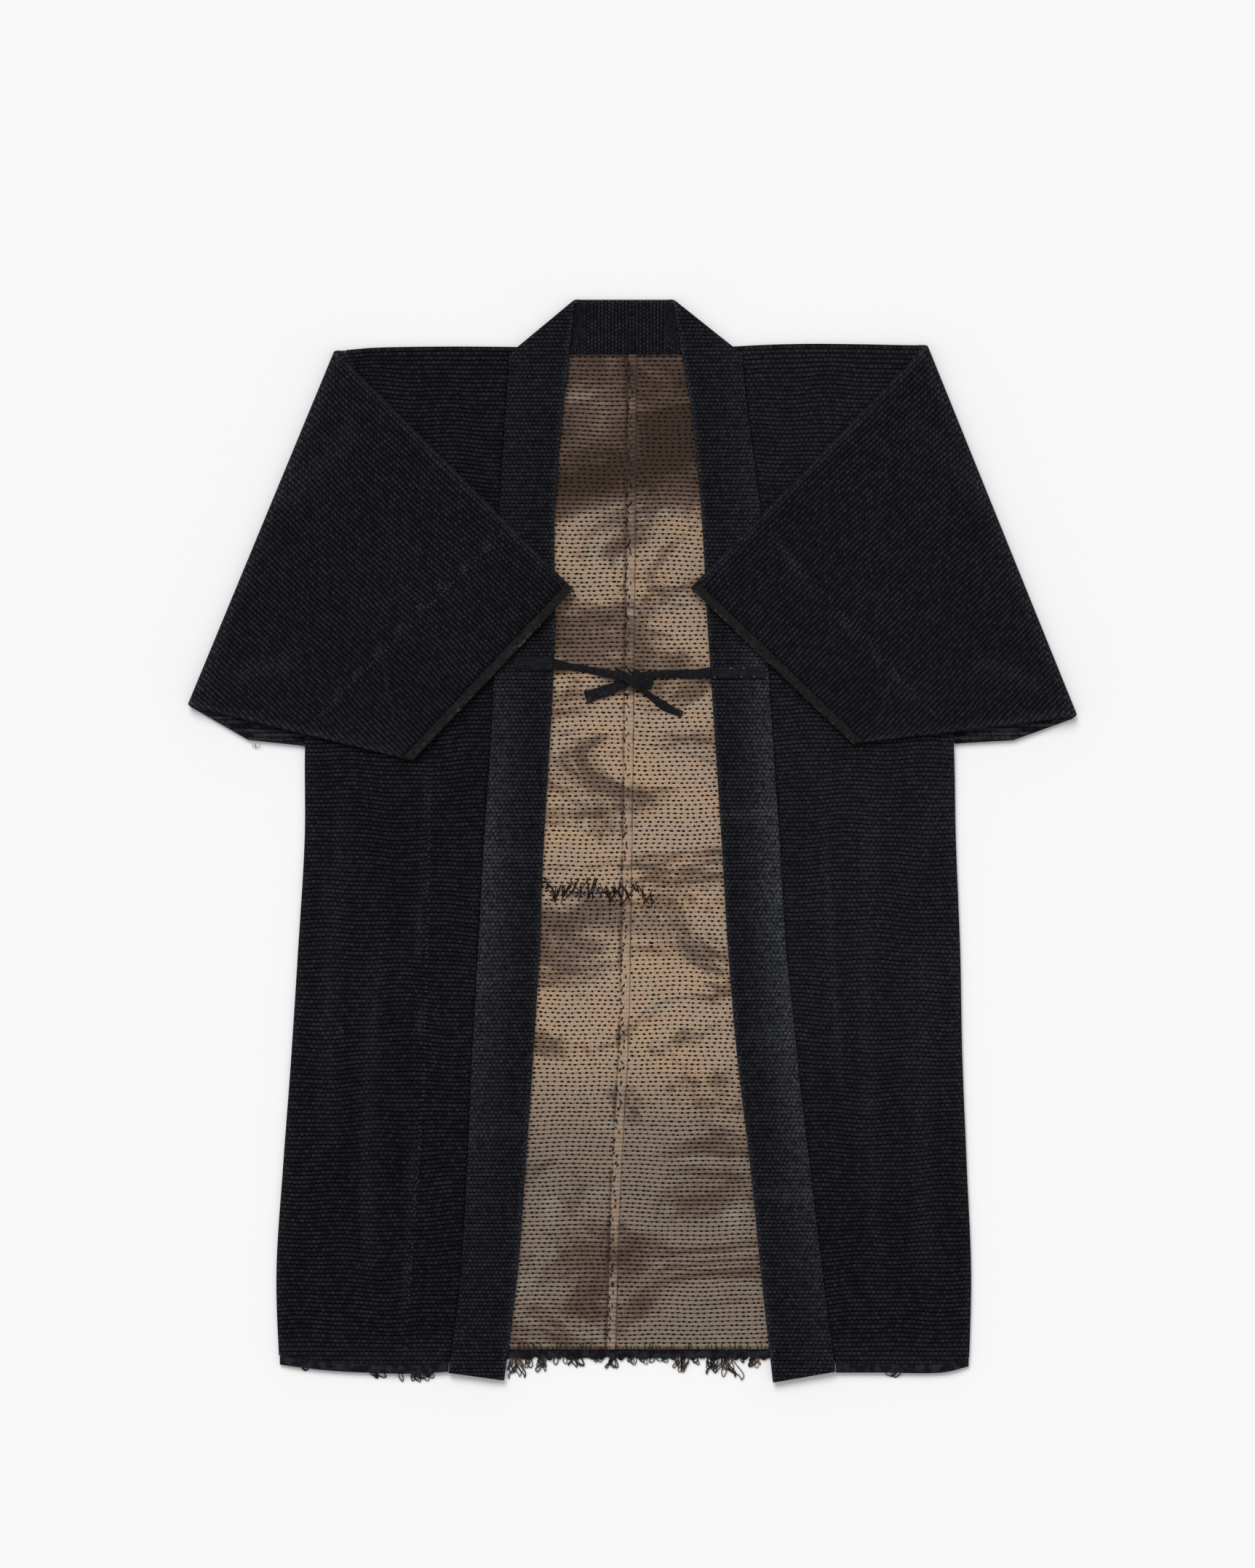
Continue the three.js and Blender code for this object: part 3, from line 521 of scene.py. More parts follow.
def new_material(name: str) -> tuple[Material, Callable[..., Node]]:
    """An empty node material, and what adds a node to it.

    Args:
        name: its name.

    Returns:
        The material, and what adds a node to it.
    """
    material = bpy.data.materials.new(name)
    material.use_nodes = True
    material.node_tree.nodes.clear()
    return material, partial(add_node, material.node_tree)


@dataclass(frozen=True)
class RowStitchedCotton:
    """Plain-woven cotton quilted in rows. To the eye: close ridges cut into short dashes."""

    name: str
    dark: str
    light: str
    # Painted shade: the near-black colour of the sunk grooves between rows and between dashes.
    groove_shade: str
    tint: str
    rubbed: str
    row: float
    dash: float
    gap: float = 0.5
    scatter: float = 0.3
    sheen: float = 0.006

    def make(self) -> Material:
        """Builds the material."""
        material, add = new_material(self.name)
        rows = add("UVMap", uv_map="rows")
        place = add("TexCoord").outputs["Object"]
        stray = add("TexNoise", {"Vector": rows, "Scale": 0.22, "Detail": 1.0}).outputs["Color"]
        stray = add("VectorMath", [stray, (0.5, 0.5, 0.5)], operation="SUBTRACT")
        stray = add("VectorMath", [stray, (2.4 * self.scatter, self.scatter, 0)], operation="MULTIPLY")
        threads = add("VectorMath", [rows, stray], operation="ADD")
        # Painted shade: the brick pattern's mortar, the gaps between rows and between dashes, takes the
        # groove colour.
        # The brick pattern takes centimetres, since its gap can't pass an eighth of a unit.
        brick = add("TexBrick", {
            "Vector": threads, "Color1": linear(self.dark), "Color2": linear(self.light),
            "Mortar": linear(self.groove_shade), "Scale": 0.1, "Mortar Size": self.gap / 10,
            "Mortar Smooth": 0.6, "Bias": -0.15, "Brick Width": self.dash / 10,
            "Row Height": self.row / 10,
        }, offset=0.5)
        dash = brick.outputs["Fac"]
        # The rows sink where the thread pulls the layers together, and their grooves are darkened in the
        # colour as painted shade.
        across = add("SeparateXYZ", [threads]).outputs[1]
        groove_shade = add("Math", [across, 2 * math.pi / self.row], operation="MULTIPLY")
        groove_shade = add("Math", [groove_shade], operation="COSINE")
        groove_shade = add("MapRange", [groove_shade, -0.35, 0.8, 0.97, 0.3])
        groove_shaded = add("VectorMath", {0: brick, 3: groove_shade}, operation="SCALE")
        cloud = add("TexNoise", {"Vector": place, "Scale": 11.0, "Detail": 3.0, "Roughness": 0.6})
        cloud = add("MapRange", [cloud, 0.38, 0.68, 0, 0.8])
        dyed = add("Mix", {0: cloud, 6: groove_shaded, 7: linear(self.tint)}, blend_type="MULTIPLY")
        fibre = add("TexNoise", {"Vector": place, "Scale": 900.0, "Detail": 2.0})
        fluff = add("MapRange", [fibre, 0.35, 0.7, 0.7, 1.45])
        fuzzy = add("VectorMath", {0: dyed, 3: fluff}, operation="SCALE")
        wear = add("Attribute", attribute_name="wear").outputs["Fac"]
        specks = add("TexNoise", {"Vector": place, "Scale": 330.0, "Detail": 3.0, "Roughness": 0.7})
        specks = add("MapRange", [specks, 0.4, 0.66, 0.15, 1])
        rubbing = add("Math", [wear, specks], operation="MULTIPLY", use_clamp=True)
        crest = add("MapRange", [dash, 0, 1, 1, 0.25])
        rubbing = add("Math", [rubbing, crest], operation="MULTIPLY")
        colour = add("Mix", {0: rubbing, 6: fuzzy, 7: linear(self.rubbed)})
        dashes = add("Bump", {"Height": dash, "Distance": 0.0005, "Strength": 0.8}, invert=True)
        bump = add("Bump", {"Height": fibre, "Distance": 0.0003, "Strength": 0.5, "Normal": dashes})
        cloth_shader(add, colour, bump, 0.93, self.sheen)
        return material


@dataclass(frozen=True)
class InkWashedLining:
    """Thin tan cotton with pale grey-brown ink washed over it. To the eye: soft clouds and bands."""

    name: str = "ink_washed_tan_cotton"
    cloth: str = "#ac9581"
    sunned: str = "#b6987c"
    wash: str = "#5f4d43"
    # The dark ink of the washes, also used for the painted shade in the row grooves.
    ink_and_groove_shade: str = "#362a24"
    grey: str = "#9a9788"
    soiled: str = "#7f7469"
    scuffed: str = "#6a645f"
    row: float = ROW_PITCH

    def make(self) -> Material:
        """Builds the material."""
        material, add = new_material(self.name)
        rows = add("UVMap", uv_map="rows")
        place = add("TexCoord").outputs["Object"]
        stretch = add("Mapping", {"Vector": place, "Scale": (1.0, 1.5, 1.0)})
        cloud = add("TexNoise", {"Vector": stretch, "Scale": 13.0, "Detail": 3.0, "Roughness": 0.55,
                                 "Distortion": 0.4})
        base = add("MapRange", [cloud, 0.4, 0.62, 0, 1])
        base = add("Mix", {0: base, 6: linear(self.cloth), 7: linear(self.sunned)})
        soil = add("Attribute", attribute_name="soil").outputs["Fac"]
        # Washes run along the rows, because the ink was brushed from side to side.
        brushed = add("Mapping", {"Vector": place, "Location": (0.3, 0.1, 0),
                                  "Rotation": (0, 0, 0.5), "Scale": (0.7, 1.5, 1.0)})
        wash = add("TexNoise", {"Vector": brushed, "Scale": 9.5, "Detail": 7.0, "Roughness": 0.66,
                                "Distortion": 0.8})
        # The wash attribute holds how much ink the lining took, and also the painted shade along its fold and
        # seam lines.
        wash_level_and_edge_shade = add("Attribute", attribute_name="wash").outputs["Fac"]
        wash = add("Math", [wash, wash_level_and_edge_shade], operation="ADD")
        pale = add("MapRange", [wash, 0.52, 0.605, 0, 0.82])
        dark = add("MapRange", [wash, 0.62, 0.76, 0, 0.85])
        grey = add("TexNoise", {"Vector": stretch, "Scale": 17.0, "Detail": 2.0})
        grey = add("MapRange", [grey, 0.6, 0.72, 0, 0.6])
        # Painted shade: the grooves of the stitch rows are darkened with the ink colour, more where the
        # lining is soiled and where its wash is heavier.
        along = add("SeparateXYZ", [rows]).outputs[1]
        groove_shade = add("Math", [along, 2 * math.pi / self.row], operation="MULTIPLY")
        groove_shade = add("Math", [groove_shade], operation="COSINE")
        groove_shade = add("MapRange", [groove_shade, -1, -0.15, 1, 0])
        painted_groove_shade = add("MapRange", [wash, 0.5, 0.7, 0.34, 0.9])
        painted_groove_shade = add("Math", [soil, 0.45, painted_groove_shade], operation="MULTIPLY_ADD", use_clamp=True)
        painted_groove_shade = add("Math", [painted_groove_shade, groove_shade], operation="MULTIPLY")
        stained = base
        for share, stain in ((soil, self.soiled), (grey, self.grey), (pale, self.wash), (dark, self.ink_and_groove_shade),
                             (painted_groove_shade, self.ink_and_groove_shade)):
            stained = add("Mix", {0: share, 6: stained, 7: linear(stain)})
        weave = add("TexBrick", {
            "Vector": rows, "Color1": (1, 1, 1, 1), "Color2": (0.8, 0.8, 0.8, 1),
            "Mortar": (0.72, 0.72, 0.72, 1), "Scale": 0.1, "Mortar Size": 0.012, "Mortar Smooth": 1.0,
            "Brick Width": 0.11, "Row Height": 0.09})
        woven = add("Mix", {0: 0.45, 6: stained, 7: weave}, blend_type="MULTIPLY")
        fibre = add("TexNoise", {"Vector": place, "Scale": 700.0, "Detail": 2.0})
        mottle = add("MapRange", [fibre, 0.3, 0.7, 0.8, 1.15])
        mottled = add("VectorMath", {0: woven, 3: mottle}, operation="SCALE")
        wear = add("Attribute", attribute_name="wear").outputs["Fac"]
        colour = add("Mix", {0: wear, 6: mottled, 7: linear(self.scuffed)})
        bump = add("Bump", {"Height": fibre, "Distance": 0.0003, "Strength": 0.45})
        cloth_shader(add, colour, bump, 0.9, 0.0)
        return material


@dataclass(frozen=True)
class PlainTape:
    """Plain-woven cotton tape. To the eye: a fine grain, with paler threads where it has worn."""

    name: str
    colour: str
    light: str
    rubbed: str
    thread: float = 1.1

    def make(self) -> Material:
        """Builds the material."""
        material, add = new_material(self.name)
        rows = add("UVMap", uv_map="rows")
        place = add("TexCoord").outputs["Object"]
        # The tape's real threads are half as wide, too fine to show from above.
        weave = add("TexBrick", {
            "Vector": rows, "Color1": linear(self.colour), "Color2": linear(self.light),
            "Mortar": linear(self.colour), "Scale": 0.1, "Mortar Size": 0.02, "Mortar Smooth": 1.0,
            "Brick Width": self.thread / 7, "Row Height": self.thread / 10})
        fibre = add("TexNoise", {"Vector": place, "Scale": 420.0, "Detail": 3.0, "Roughness": 0.65})
        mottle = add("MapRange", [fibre, 0.3, 0.7, 0.65, 1.4])
        mottled = add("VectorMath", {0: weave, 3: mottle}, operation="SCALE")
        wear = add("Attribute", attribute_name="wear").outputs["Fac"]
        frayed = add("TexNoise", {"Vector": place, "Scale": 240.0, "Detail": 3.0, "Roughness": 0.75})
        frayed = add("MapRange", [frayed, 0.5, 0.62, 0, 1])
        rubbing = add("Math", [wear, frayed], operation="MULTIPLY", use_clamp=True)
        colour = add("Mix", {0: rubbing, 6: mottled, 7: linear(self.rubbed)})
        fine = add("Bump", {"Height": weave.outputs["Fac"], "Distance": 0.0002, "Strength": 0.6},
                   invert=True)
        bump = add("Bump", {"Height": fibre, "Distance": 0.0004, "Strength": 0.5, "Normal": fine})
        cloth_shader(add, colour, bump, 0.92, 0.03)
        return material


@dataclass(frozen=True)
class SpunThread:
    """Hand-spun cotton thread. To the eye: matt, with a colour that changes along its length."""

    name: str
    colour: str
    other: str
    sheen: float = 0.02

    def make(self) -> Material:
        """Builds the material."""
        material, add = new_material(self.name)
        place = add("TexCoord").outputs["Object"]
        spun = add("TexNoise", {"Vector": place, "Scale": 160.0, "Detail": 2.0})
        share = add("MapRange", [spun, 0.4, 0.62, 0, 1])
        colour = add("Mix", {0: share, 6: linear(self.colour), 7: linear(self.other)})
        twist = add("TexNoise", {"Vector": place, "Scale": 1500.0})
        bump = add("Bump", {"Height": twist, "Distance": 0.0002, "Strength": 0.5})
        cloth_shader(add, colour, bump, 0.9, self.sheen)
        return material


@dataclass(frozen=True)
class MattPaper:
    """White paper. To the eye: an even, pale ground without shine."""

    name: str = "matt_white_paper"
    colour: str = "#f6f6f6"

    def make(self) -> Material:
        """Builds the material."""
        material, add = new_material(self.name)
        shader = add("BsdfPrincipled", {"Base Color": linear(self.colour), "Roughness": 1.0,
                                        "Specular IOR Level": 0.0})
        add("OutputMaterial", {"Surface": shader})
        return material


def weld(points: Array) -> tuple[Array, Array]:
    """Merges points that lie at the same place.

    Args:
        points: the points, one row each.

    Returns:
        The number of each point's first copy among the kept ones, and the rows that are kept.
    """
    keys = np.round(points * 1000).astype(np.int64)
    _, kept, number = np.unique(keys, axis=0, return_index=True, return_inverse=True)
    return number.reshape(-1), kept


class ClothWall:
    """A closed wall of cloth, made of patches: grids of points on its face and on its back."""

    def __init__(self) -> None:
        """Starts a wall with no patches."""
        self.patches: list[dict] = []

    def patch(self, face: Array, back: Array, rows: Array, **paint: Array) -> None:
        """Adds a patch.

        Args:
            face: a grid of points on the cloth's face.
            back: the same grid on its back.
            rows: for each point its place along and across the stitch rows, in millimetres.
            paint: values to keep at each point under a name, such as wear.
        """
        self.patches.append({"face": face, "back": back, "rows": rows, "paint": paint})

    def build(self, name: str, material: Material, sign: int = 1) -> Object:
        """Makes the wall.

        Args:
            name: the piece's name.
            material: its material.
            sign: the side of the coat that its across numbers belong to.

        Returns:
            The piece, riding on the coat.
        """
        face, back, rows = (np.concatenate([p[key].reshape(-1, n) for p in self.patches])
                            for key, n in (("face", 3), ("back", 3), ("rows", 2)))
        number, kept = weld(face)
        quads = []
        start = 0
        for p in self.patches:
            n, m = p["face"].shape[:2]
            grid = start + np.arange(n * m).reshape(n, m)
            corners = (grid[:-1, :-1], grid[:-1, 1:], grid[1:, 1:], grid[1:, :-1])
            quads.append(np.stack(corners, axis=-1).reshape(-1, 4))
            start += n * m
        loose = np.concatenate(quads)
        polygons, sources = [], []
        for welded, source in zip(number[loose].tolist(), loose.tolist()):
            keep = [i for i in range(4) if welded[i] != welded[i - 1]]
            if len(keep) > 2 and len({welded[i] for i in keep}) == len(keep):
                polygons.append([welded[i] for i in keep])
                sources.append([source[i] for i in keep])
        used = {(a, b) for poly in polygons for a, b in zip(poly, poly[1:] + poly[:1])}
        count = len(kept)
        faces, face_rows = list(polygons), list(sources)
        for poly, source in zip(polygons, sources):
            faces.append([count + i for i in reversed(poly)])
            face_rows.append(list(reversed(source)))
            following = zip(poly, poly[1:] + poly[:1], source, source[1:] + source[:1])
            for a, b, source_a, source_b in following:
                if (b, a) not in used:
                    faces.append([b, a, count + a, count + b])
                    face_rows.append([source_b, source_a, source_a, source_b])
        points = np.concatenate([face[kept], back[kept]])
        points[:, 0] *= sign
        corner_rows = rows[np.concatenate([np.array(r) for r in face_rows])]
        paint = {
            key: np.tile(np.concatenate([p["paint"][key].reshape(-1) for p in self.patches])[kept], 2)
            for key in self.patches[0]["paint"]
        }
        return make_piece(name, points, faces, material, corner_rows, paint)


def make_piece(name: str, points: Array, faces: list, material: Material,
               corner_rows: Array | None = None, paint: dict | None = None) -> Object:
    """Makes a mesh piece that rides on the coat.

    Args:
        name: the piece's name.
        points: its points, in millimetres.
        faces: the corners of each face.
        material: its material.
        corner_rows: for each face corner, its place along and across the rows.
        paint: values to keep at each point under a name.

    Returns:
        The piece, with its faces pointing out.
    """
    sizes = np.array([len(f) for f in faces])
    corners = np.concatenate([np.array(f) for f in faces])
    triangles = np.array([(f[0], f[i], f[i + 1]) for f in faces for i in range(1, len(f) - 1)])
    a, b, c = (points[triangles[:, i]] for i in range(3))
    if np.einsum("ij,ij->", a, np.cross(b, c)) < 0:
        ends = np.cumsum(sizes)
        order = np.concatenate([np.arange(end - 1, end - size - 1, -1) for end, size in zip(ends, sizes)])
        corners = corners[order]
        corner_rows = None if corner_rows is None else corner_rows[order]
    mesh = bpy.data.meshes.new(name)
    mesh.vertices.add(len(points))
    mesh.vertices.foreach_set("co", (points * MM).astype(np.float32).ravel())
    mesh.loops.add(len(corners))
    mesh.loops.foreach_set("vertex_index", corners.astype(np.int32))
    mesh.polygons.add(len(faces))
    mesh.polygons.foreach_set("loop_start", np.concatenate([[0], np.cumsum(sizes)[:-1]]).astype(np.int32))
    mesh.update(calc_edges=True)
    mesh.shade_smooth()
    if corner_rows is not None:
        mesh.uv_layers.new(name="rows").data.foreach_set("uv", corner_rows.astype(np.float32).ravel())
    for key, values in (paint or {}).items():
        attribute = mesh.attributes.new(key, "FLOAT", "POINT")
        attribute.data.foreach_set("value", values.astype(np.float32))
    mesh.materials.append(material)
    mesh.validate()
    piece = bpy.data.objects.new(name, mesh)
    bpy.context.scene.collection.objects.link(piece)
    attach(piece, BODY)
    LOG.info("%s: %d faces", name, len(faces))
    return piece


def ridges(v: Array, pitch: float) -> Array:
    """The height of the cloth between its stitch rows, from 0 in a row to 1 between two."""
    return 0.5 - 0.5 * np.cos(2 * math.pi * v / pitch)


def wander(u: Array, v: Array, seed: float) -> Array:
    """How far a hand-sewn row strays, in millimetres."""
    return (0.9 * np.sin(u / 41 + v / 83 + seed) + 0.5 * np.sin(u / 17 - v / 59 + 2 * seed)
            + 0.35 * np.sin(u / 9 + v / 37 + 3 * seed))


# How far the shoulder's fold bows out past its straight line.
SHOULDER_BULGE = Table(("across", "right", "left"), (
    (90, 0.2, 0.6), (125, 0.6, 2.4), (165, 0.8, 3.3), (210, 0.4, 2.9), (240, -0.5, 2.3), (264, -2.6, 1.9),
))

# The wearer's left front has faded a little more than the right one.
FRONT_FADE = {Half.RIGHT: 0.05, Half.LEFT: 0.17}


@dataclass
class BodyHalf:
    """One half of the body: a strip from the back hem over the shoulder to the front hem."""

    side: SidePattern
    material: Material
    back_step: float = 14.0
    edge_drop: float = 0.7
    columns: int = 24
    neutral: float = 1.9
    stray: float = 1.5

    def fold(self) -> Fold:
        """The fold of the strip over the shoulder."""
        return Fold(((0, SHOULDER_Y), (1, SHOULDER_Y)), (0, 1), FRONT_HIGH / 2, self.neutral)

    def strip(self, runs: Array) -> tuple[Array, Array, Array, Array]:
        """The strip's points at places along its length.

        Args:
            runs: places along the strip, from the back hem.

        Returns:
            The face's points, the back's points, the stitch row places and the wear.
        """
        side, fold = self.side, self.fold()
        shoulder = fold.foot[1]
        share = np.concatenate([[0, 0.008, 0.03], np.linspace(0.07, 0.93, self.columns), [0.97, 0.992, 1]])
        edge = np.zeros(len(share))
        edge[[0, -1]] = self.edge_drop
        edge[[1, -2]] = 0.2 * self.edge_drop
        run, share = np.meshgrid(runs, share, indexing="ij")
        edge = np.broadcast_to(edge, run.shape)
        s = run - shoulder
        y = np.where(s < fold.turn, np.minimum(run, shoulder), shoulder - (s - fold.turn))
        front = s >= fold.turn
        crest = y + fold.centre * np.sin(np.clip(s / fold.neutral, 0.0, math.pi))
        tucked = side.neck_slope * np.maximum(0.0, crest - NECK_SEAM_Y) + 1.8 * ease(
            (crest - NECK_SEAM_Y + SEAM_GAP) / 2.0)
        neck_end = side.neck_end - tucked
        beside_collar = np.maximum(side.seam_edge(y) + SEAM_GAP,
                                   np.where(y > NECK_SEAM_Y - NECK_CLEARANCE, neck_end, 0))
        beside_collar = np.where(crest > NECK_SEAM_Y, neck_end, beside_collar)
        inner = np.where(front, beside_collar, neck_end)
        across = lerp(inner, side.side_edge(y) - SEAM_GAP, share)
        lowest = side.hem.read("across", across, "y") + HEM_BAND + SEAM_GAP
        clear = ease((y - lowest) / 40.0) * ease((s - fold.turn) / 30.0)
        moved = run + np.where(front, clear * self.stray * wander(across, run, side.sign), 0)
        y_moved = shoulder - (moved - shoulder - fold.turn)
        flat_y = np.where(front, moved - np.maximum(0.0, lowest - y_moved), run)
        x = side.sign * across
        raised = front * (ROW_HEIGHT * ridges(run, ROW_PITCH) + relief(FRONT_CREASES, x, y)) - edge * front
        depth = lerp(BACK_CLOTH, FRONT_HIGH - FRONT_LOW, np.clip(s / fold.turn, 0, 1))
        face = fold.over(across, flat_y, -raised)
        back = fold.over(across, flat_y, depth)
        lift = front * (side.swell(across, y) - side.side_sink(across, y))
        face[..., 2] += lift
        back[..., 2] += lift
        bulge = SHOULDER_BULGE.read("across", across, side.name) * ease((face[..., 1] - 425.0) / 28.0)
        face[..., 1] += bulge
        back[..., 1] += bulge
        near_hem = 0.15 * ease((-440.0 - y) / 50.0) + 0.25 * ease((across - side.side_edge(y) + 9) / 9.0)
        fade = FRONT_FADE[side.half] * (1 - 0.8 * ease((-100.0 - y) / 300.0))
        wear = worn(FRONT_CREASES, x, y) + fade + near_hem
        return face, back, stack(across, run), front * wear

    def build(self) -> Object:
        """Makes the half."""
        side, fold = self.side, self.fold()
        neck_y = NECK_SEAM_Y - SEAM_GAP
        shoulder = fold.foot[1]
        back_runs = steps(LINING_EDGE_Y + SEAM_GAP, neck_y, self.back_step)
        bend = shoulder + steps(0, fold.turn, fold.turn / 8)
        front_runs = np.arange(math.ceil(bend[-1]), 2 * shoulder + fold.turn + FRONT_REACH,
                               ROW_PITCH / SAMPLES_PER_ROW)
        runs = np.concatenate([back_runs, bend, front_runs[front_runs > bend[-1] + 0.2]])
        wall = ClothWall()
        face, back, rows, wear = self.strip(runs)
        wall.patch(face, back, rows, wear=wear)
        run = back_runs[:, None]
        across = lerp(side.centre_edge(run), side.neck_end, np.array([[0, 0.5, 1]]))
        wall.patch(stack(across, run, 0), stack(across, run, BACK_CLOTH), stack(across, run),
                   wear=np.zeros(across.shape))
        name = f"body_{side.name}"
        piece = wall.build(f"{name}_cloth", self.material, side.sign)
        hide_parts(name)
        return piece


# How soiled the lining is, and how much ink it took, from the neck to the hem.
LINING_TONE = Table(("y", "soil", "wash"), (
    (450, 0.6, 0.16), (400, 0.8, 0.24), (340, 0.7, 0.26), (290, 0.25, 0.07), (200, 0.1, 0.02),
    (100, 0, 0.02), (0, 0, 0.03), (-120, 0, 0.01), (-200, 0.1, 0), (-245, 0.55, 0),
    (-285, 0.8, 0), (-380, 0.85, 0.02), (-470, 0.85, 0.01),
))
LINING_SCUFFS = creases(
    (-66, -50, -24, -44, 4, 0, 0.4), (-44, -62, -34, -74, 2.5, 0, 0.25),
    (12, -62, 26, -58, 2.5, 0, 0.3),
)


@dataclass
class LiningHalf:
    """Half of the tan lining, with its running stitches; the right one has the raised seam allowance."""

    side: SidePattern
    material: Material
    thread: Material
    puff: float = 0.45
    allowance: float = 8.0
    allowance_height: float = 0.8
    shown: float = 150.0
    column_step: float = 5.0
    samples: int = 3
    stray: float = 0.8
    stray_seed: float = 2.0

    def has_allowance(self) -> bool:
        """Whether the seam allowance is turned to this side."""
        return self.side.half is Half.RIGHT

    def height(self, inwards: Array, across: Array, y: Array, v: Array) -> Array:
        """The height of the lining's face.

        Args:
            inwards: distances from the centre seam.
            across: distances from the coat's middle.
            y: places along the coat.
            v: places across the stitch rows.

        Returns:
            The heights in millimetres.
        """
        side = self.side
        open_part = ease((side.free_edge(y) - 4.0 - across) / 16.0) * ease((NECK_SEAM_Y - 8.0 - y) / 16.0)
        open_part = open_part * ease((y - LINING_EDGE_Y) / 16.0)
        step = self.allowance_height * ease((self.allowance - inwards) / 1.2) if self.has_allowance() else 0
        seam_dip = 0.35 * np.exp(-((inwards / 1.6) ** 2))
        slack = open_part * np.maximum(-0.3, relief(LINING_CREASES, side.sign * across, y))
        return LINING_HIGH + self.puff * (1 - ridges(v, ROW_PITCH)) + step + slack - seam_dip

    def build(self) -> Object:
        """Makes the lining and its stitches."""
        side = self.side
        top = NECK_SEAM_Y - 2 * SEAM_GAP
        v = np.arange(0.0, top - (LINING_EDGE_Y + SEAM_GAP), ROW_PITCH / self.samples)
        inwards = np.concatenate([[0, 0.8, 2.5, 5.0, 6.8, 7.4, 8.0, 8.6],
                                  np.arange(12.0, self.shown, self.column_step)])
        hidden = np.array([0.25, 0.6, 1.0])
        y = (top - v)[:, None]
        centre = side.centre_edge(y)
        outer = side.side_edge(y) - LINING_INSET
        across = np.concatenate([centre + inwards, lerp(centre + inwards[-1], outer, hidden)], axis=1)
        row_v = np.broadcast_to(v[:, None], across.shape)
        free = ease((top - y) / 20.0) * ease((y - LINING_EDGE_Y) / 20.0)
        moved = y - self.stray * wander(across, row_v, side.sign + self.stray_seed) * free
        height = self.height(across - centre, across, moved, row_v)
        x = side.sign * across
        scuffs = sum(s.strength(x, moved) for s in LINING_SCUFFS)
        wall = ClothWall()
        wash_and_edge_shade = LINING_TONE.read("y", moved, "wash")
        soil = LINING_TONE.read("y", moved, "soil")
        if self.has_allowance():
            from_fold = across - centre - self.allowance - 0.6
            raised = ease(-from_fold / 1.2) * (0.25 + 0.75 * ease((-190.0 - moved) / 80.0))
            # Painted shade: thin darker lines of wash along the allowance's fold and along the centre seam.
            edges = np.exp(-((from_fold / 0.8) ** 2)) + np.exp(-(((across - centre) / 0.7) ** 2))
            wash_and_edge_shade = wash_and_edge_shade - 0.04 * raised + 0.11 * edges
            soil = soil * (1 - 0.4 * raised)
        wall.patch(stack(across, moved, height), stack(across, moved, LINING_LOW), stack(x, row_v),
                   wear=scuffs, soil=soil, wash=wash_and_edge_shade)
        name = f"lining_{side.name}"
        stitches = self.stitches(top)
        piece = wall.build(f"{name}_cloth", self.material, side.sign)
        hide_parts(name)
        f"body_{side.name}"
        return piece

    def stitches(self, top: float) -> Object:
        """The stitches that show: short dark dashes, set like bricks from row to row, each partly thread and
        partly painted shade of the dimple round it.

        Args:
            top: the lining's upper edge.

        Returns:
            The joined stitches.
        """
        side = self.side
        luck = np.random.default_rng(11 + side.sign).uniform
        bed = Beads()
        rows = int((top - LINING_EDGE_Y - 3.0) // ROW_PITCH)
        for r in range(rows):
            v = (r + 0.5) * ROW_PITCH
            start = STITCH_PITCH * (0.5 * (r % 2) + 0.35 * luck(-1, 1)) + 1.5
            inwards = np.arange(start + (self.allowance if self.has_allowance() else 0.6), self.shown,
                                STITCH_PITCH)
            inwards = inwards + luck(-1.1, 1.1, len(inwards))
            y = top - v + luck(-0.45, 0.45, len(inwards))
            across = side.centre_edge(y) + inwards
            moved = y - self.stray * wander(across, v, side.sign + self.stray_seed)
            seen = (across < side.free_edge(moved) + 8.0) & (moved > LINING_EDGE_Y + 2.0)
            height = self.height(inwards, across, moved, v)
            # Painted shade: each bead is sized past its thread to take in the shaded dimple that the stitch
            # pulls in the cloth.
            long = luck(2.8, 4.1, len(y)) * np.where(luck(0, 1, len(y)) < 0.15, 1.3, 1.0)
            wide = luck(2.1, 3.0, len(y)) * np.where(luck(0, 1, len(y)) < 0.15, 1.2, 1.0)
            turn = luck(-0.35, 0.35, len(y))
            for i in np.flatnonzero(seen):
                bed.add((side.sign * across[i], moved[i], height[i] + 0.05), long[i], wide[i], turn[i])
        return bed.build(f"lining_stitches_{side.name}", self.thread)


class Beads:
    """Small six-sided stitches, joined in one mesh."""

    def __init__(self) -> None:
        """Starts with none."""
        self.points: list[Array] = []

    def add(self, place: tuple[float, float, float], length: float, width: float, turn: float) -> None:
        """Adds a stitch.

        Args:
            place: the middle of its foot.
            length: its length.
            width: its width.
            turn: its angle to the rows, in radians.
        """
        angle = np.arange(6) * math.pi / 3
        x, y = 0.5 * length * np.cos(angle), 0.5 * width * 1.15 * np.sin(angle)
        ring = stack(x * math.cos(turn) - y * math.sin(turn), x * math.sin(turn) + y * math.cos(turn), 0)
        tips = np.array([[0, 0, 0.42], [0, 0, -0.3]])
        self.points.append(np.concatenate([ring, tips]) + np.array(place))

    def build(self, name: str, material: Material) -> Object:
        """Makes the joined stitches.

        Args:
            name: the piece's name.
            material: its material.

        Returns:
            The piece.
        """
        faces = []
        for n in range(len(self.points)):
            base = 8 * n
            for i in range(6):
                j = (i + 1) % 6
                faces.append([base + i, base + j, base + 6])
                faces.append([base + j, base + i, base + 7])
        return make_piece(name, np.concatenate(self.points), faces, material)


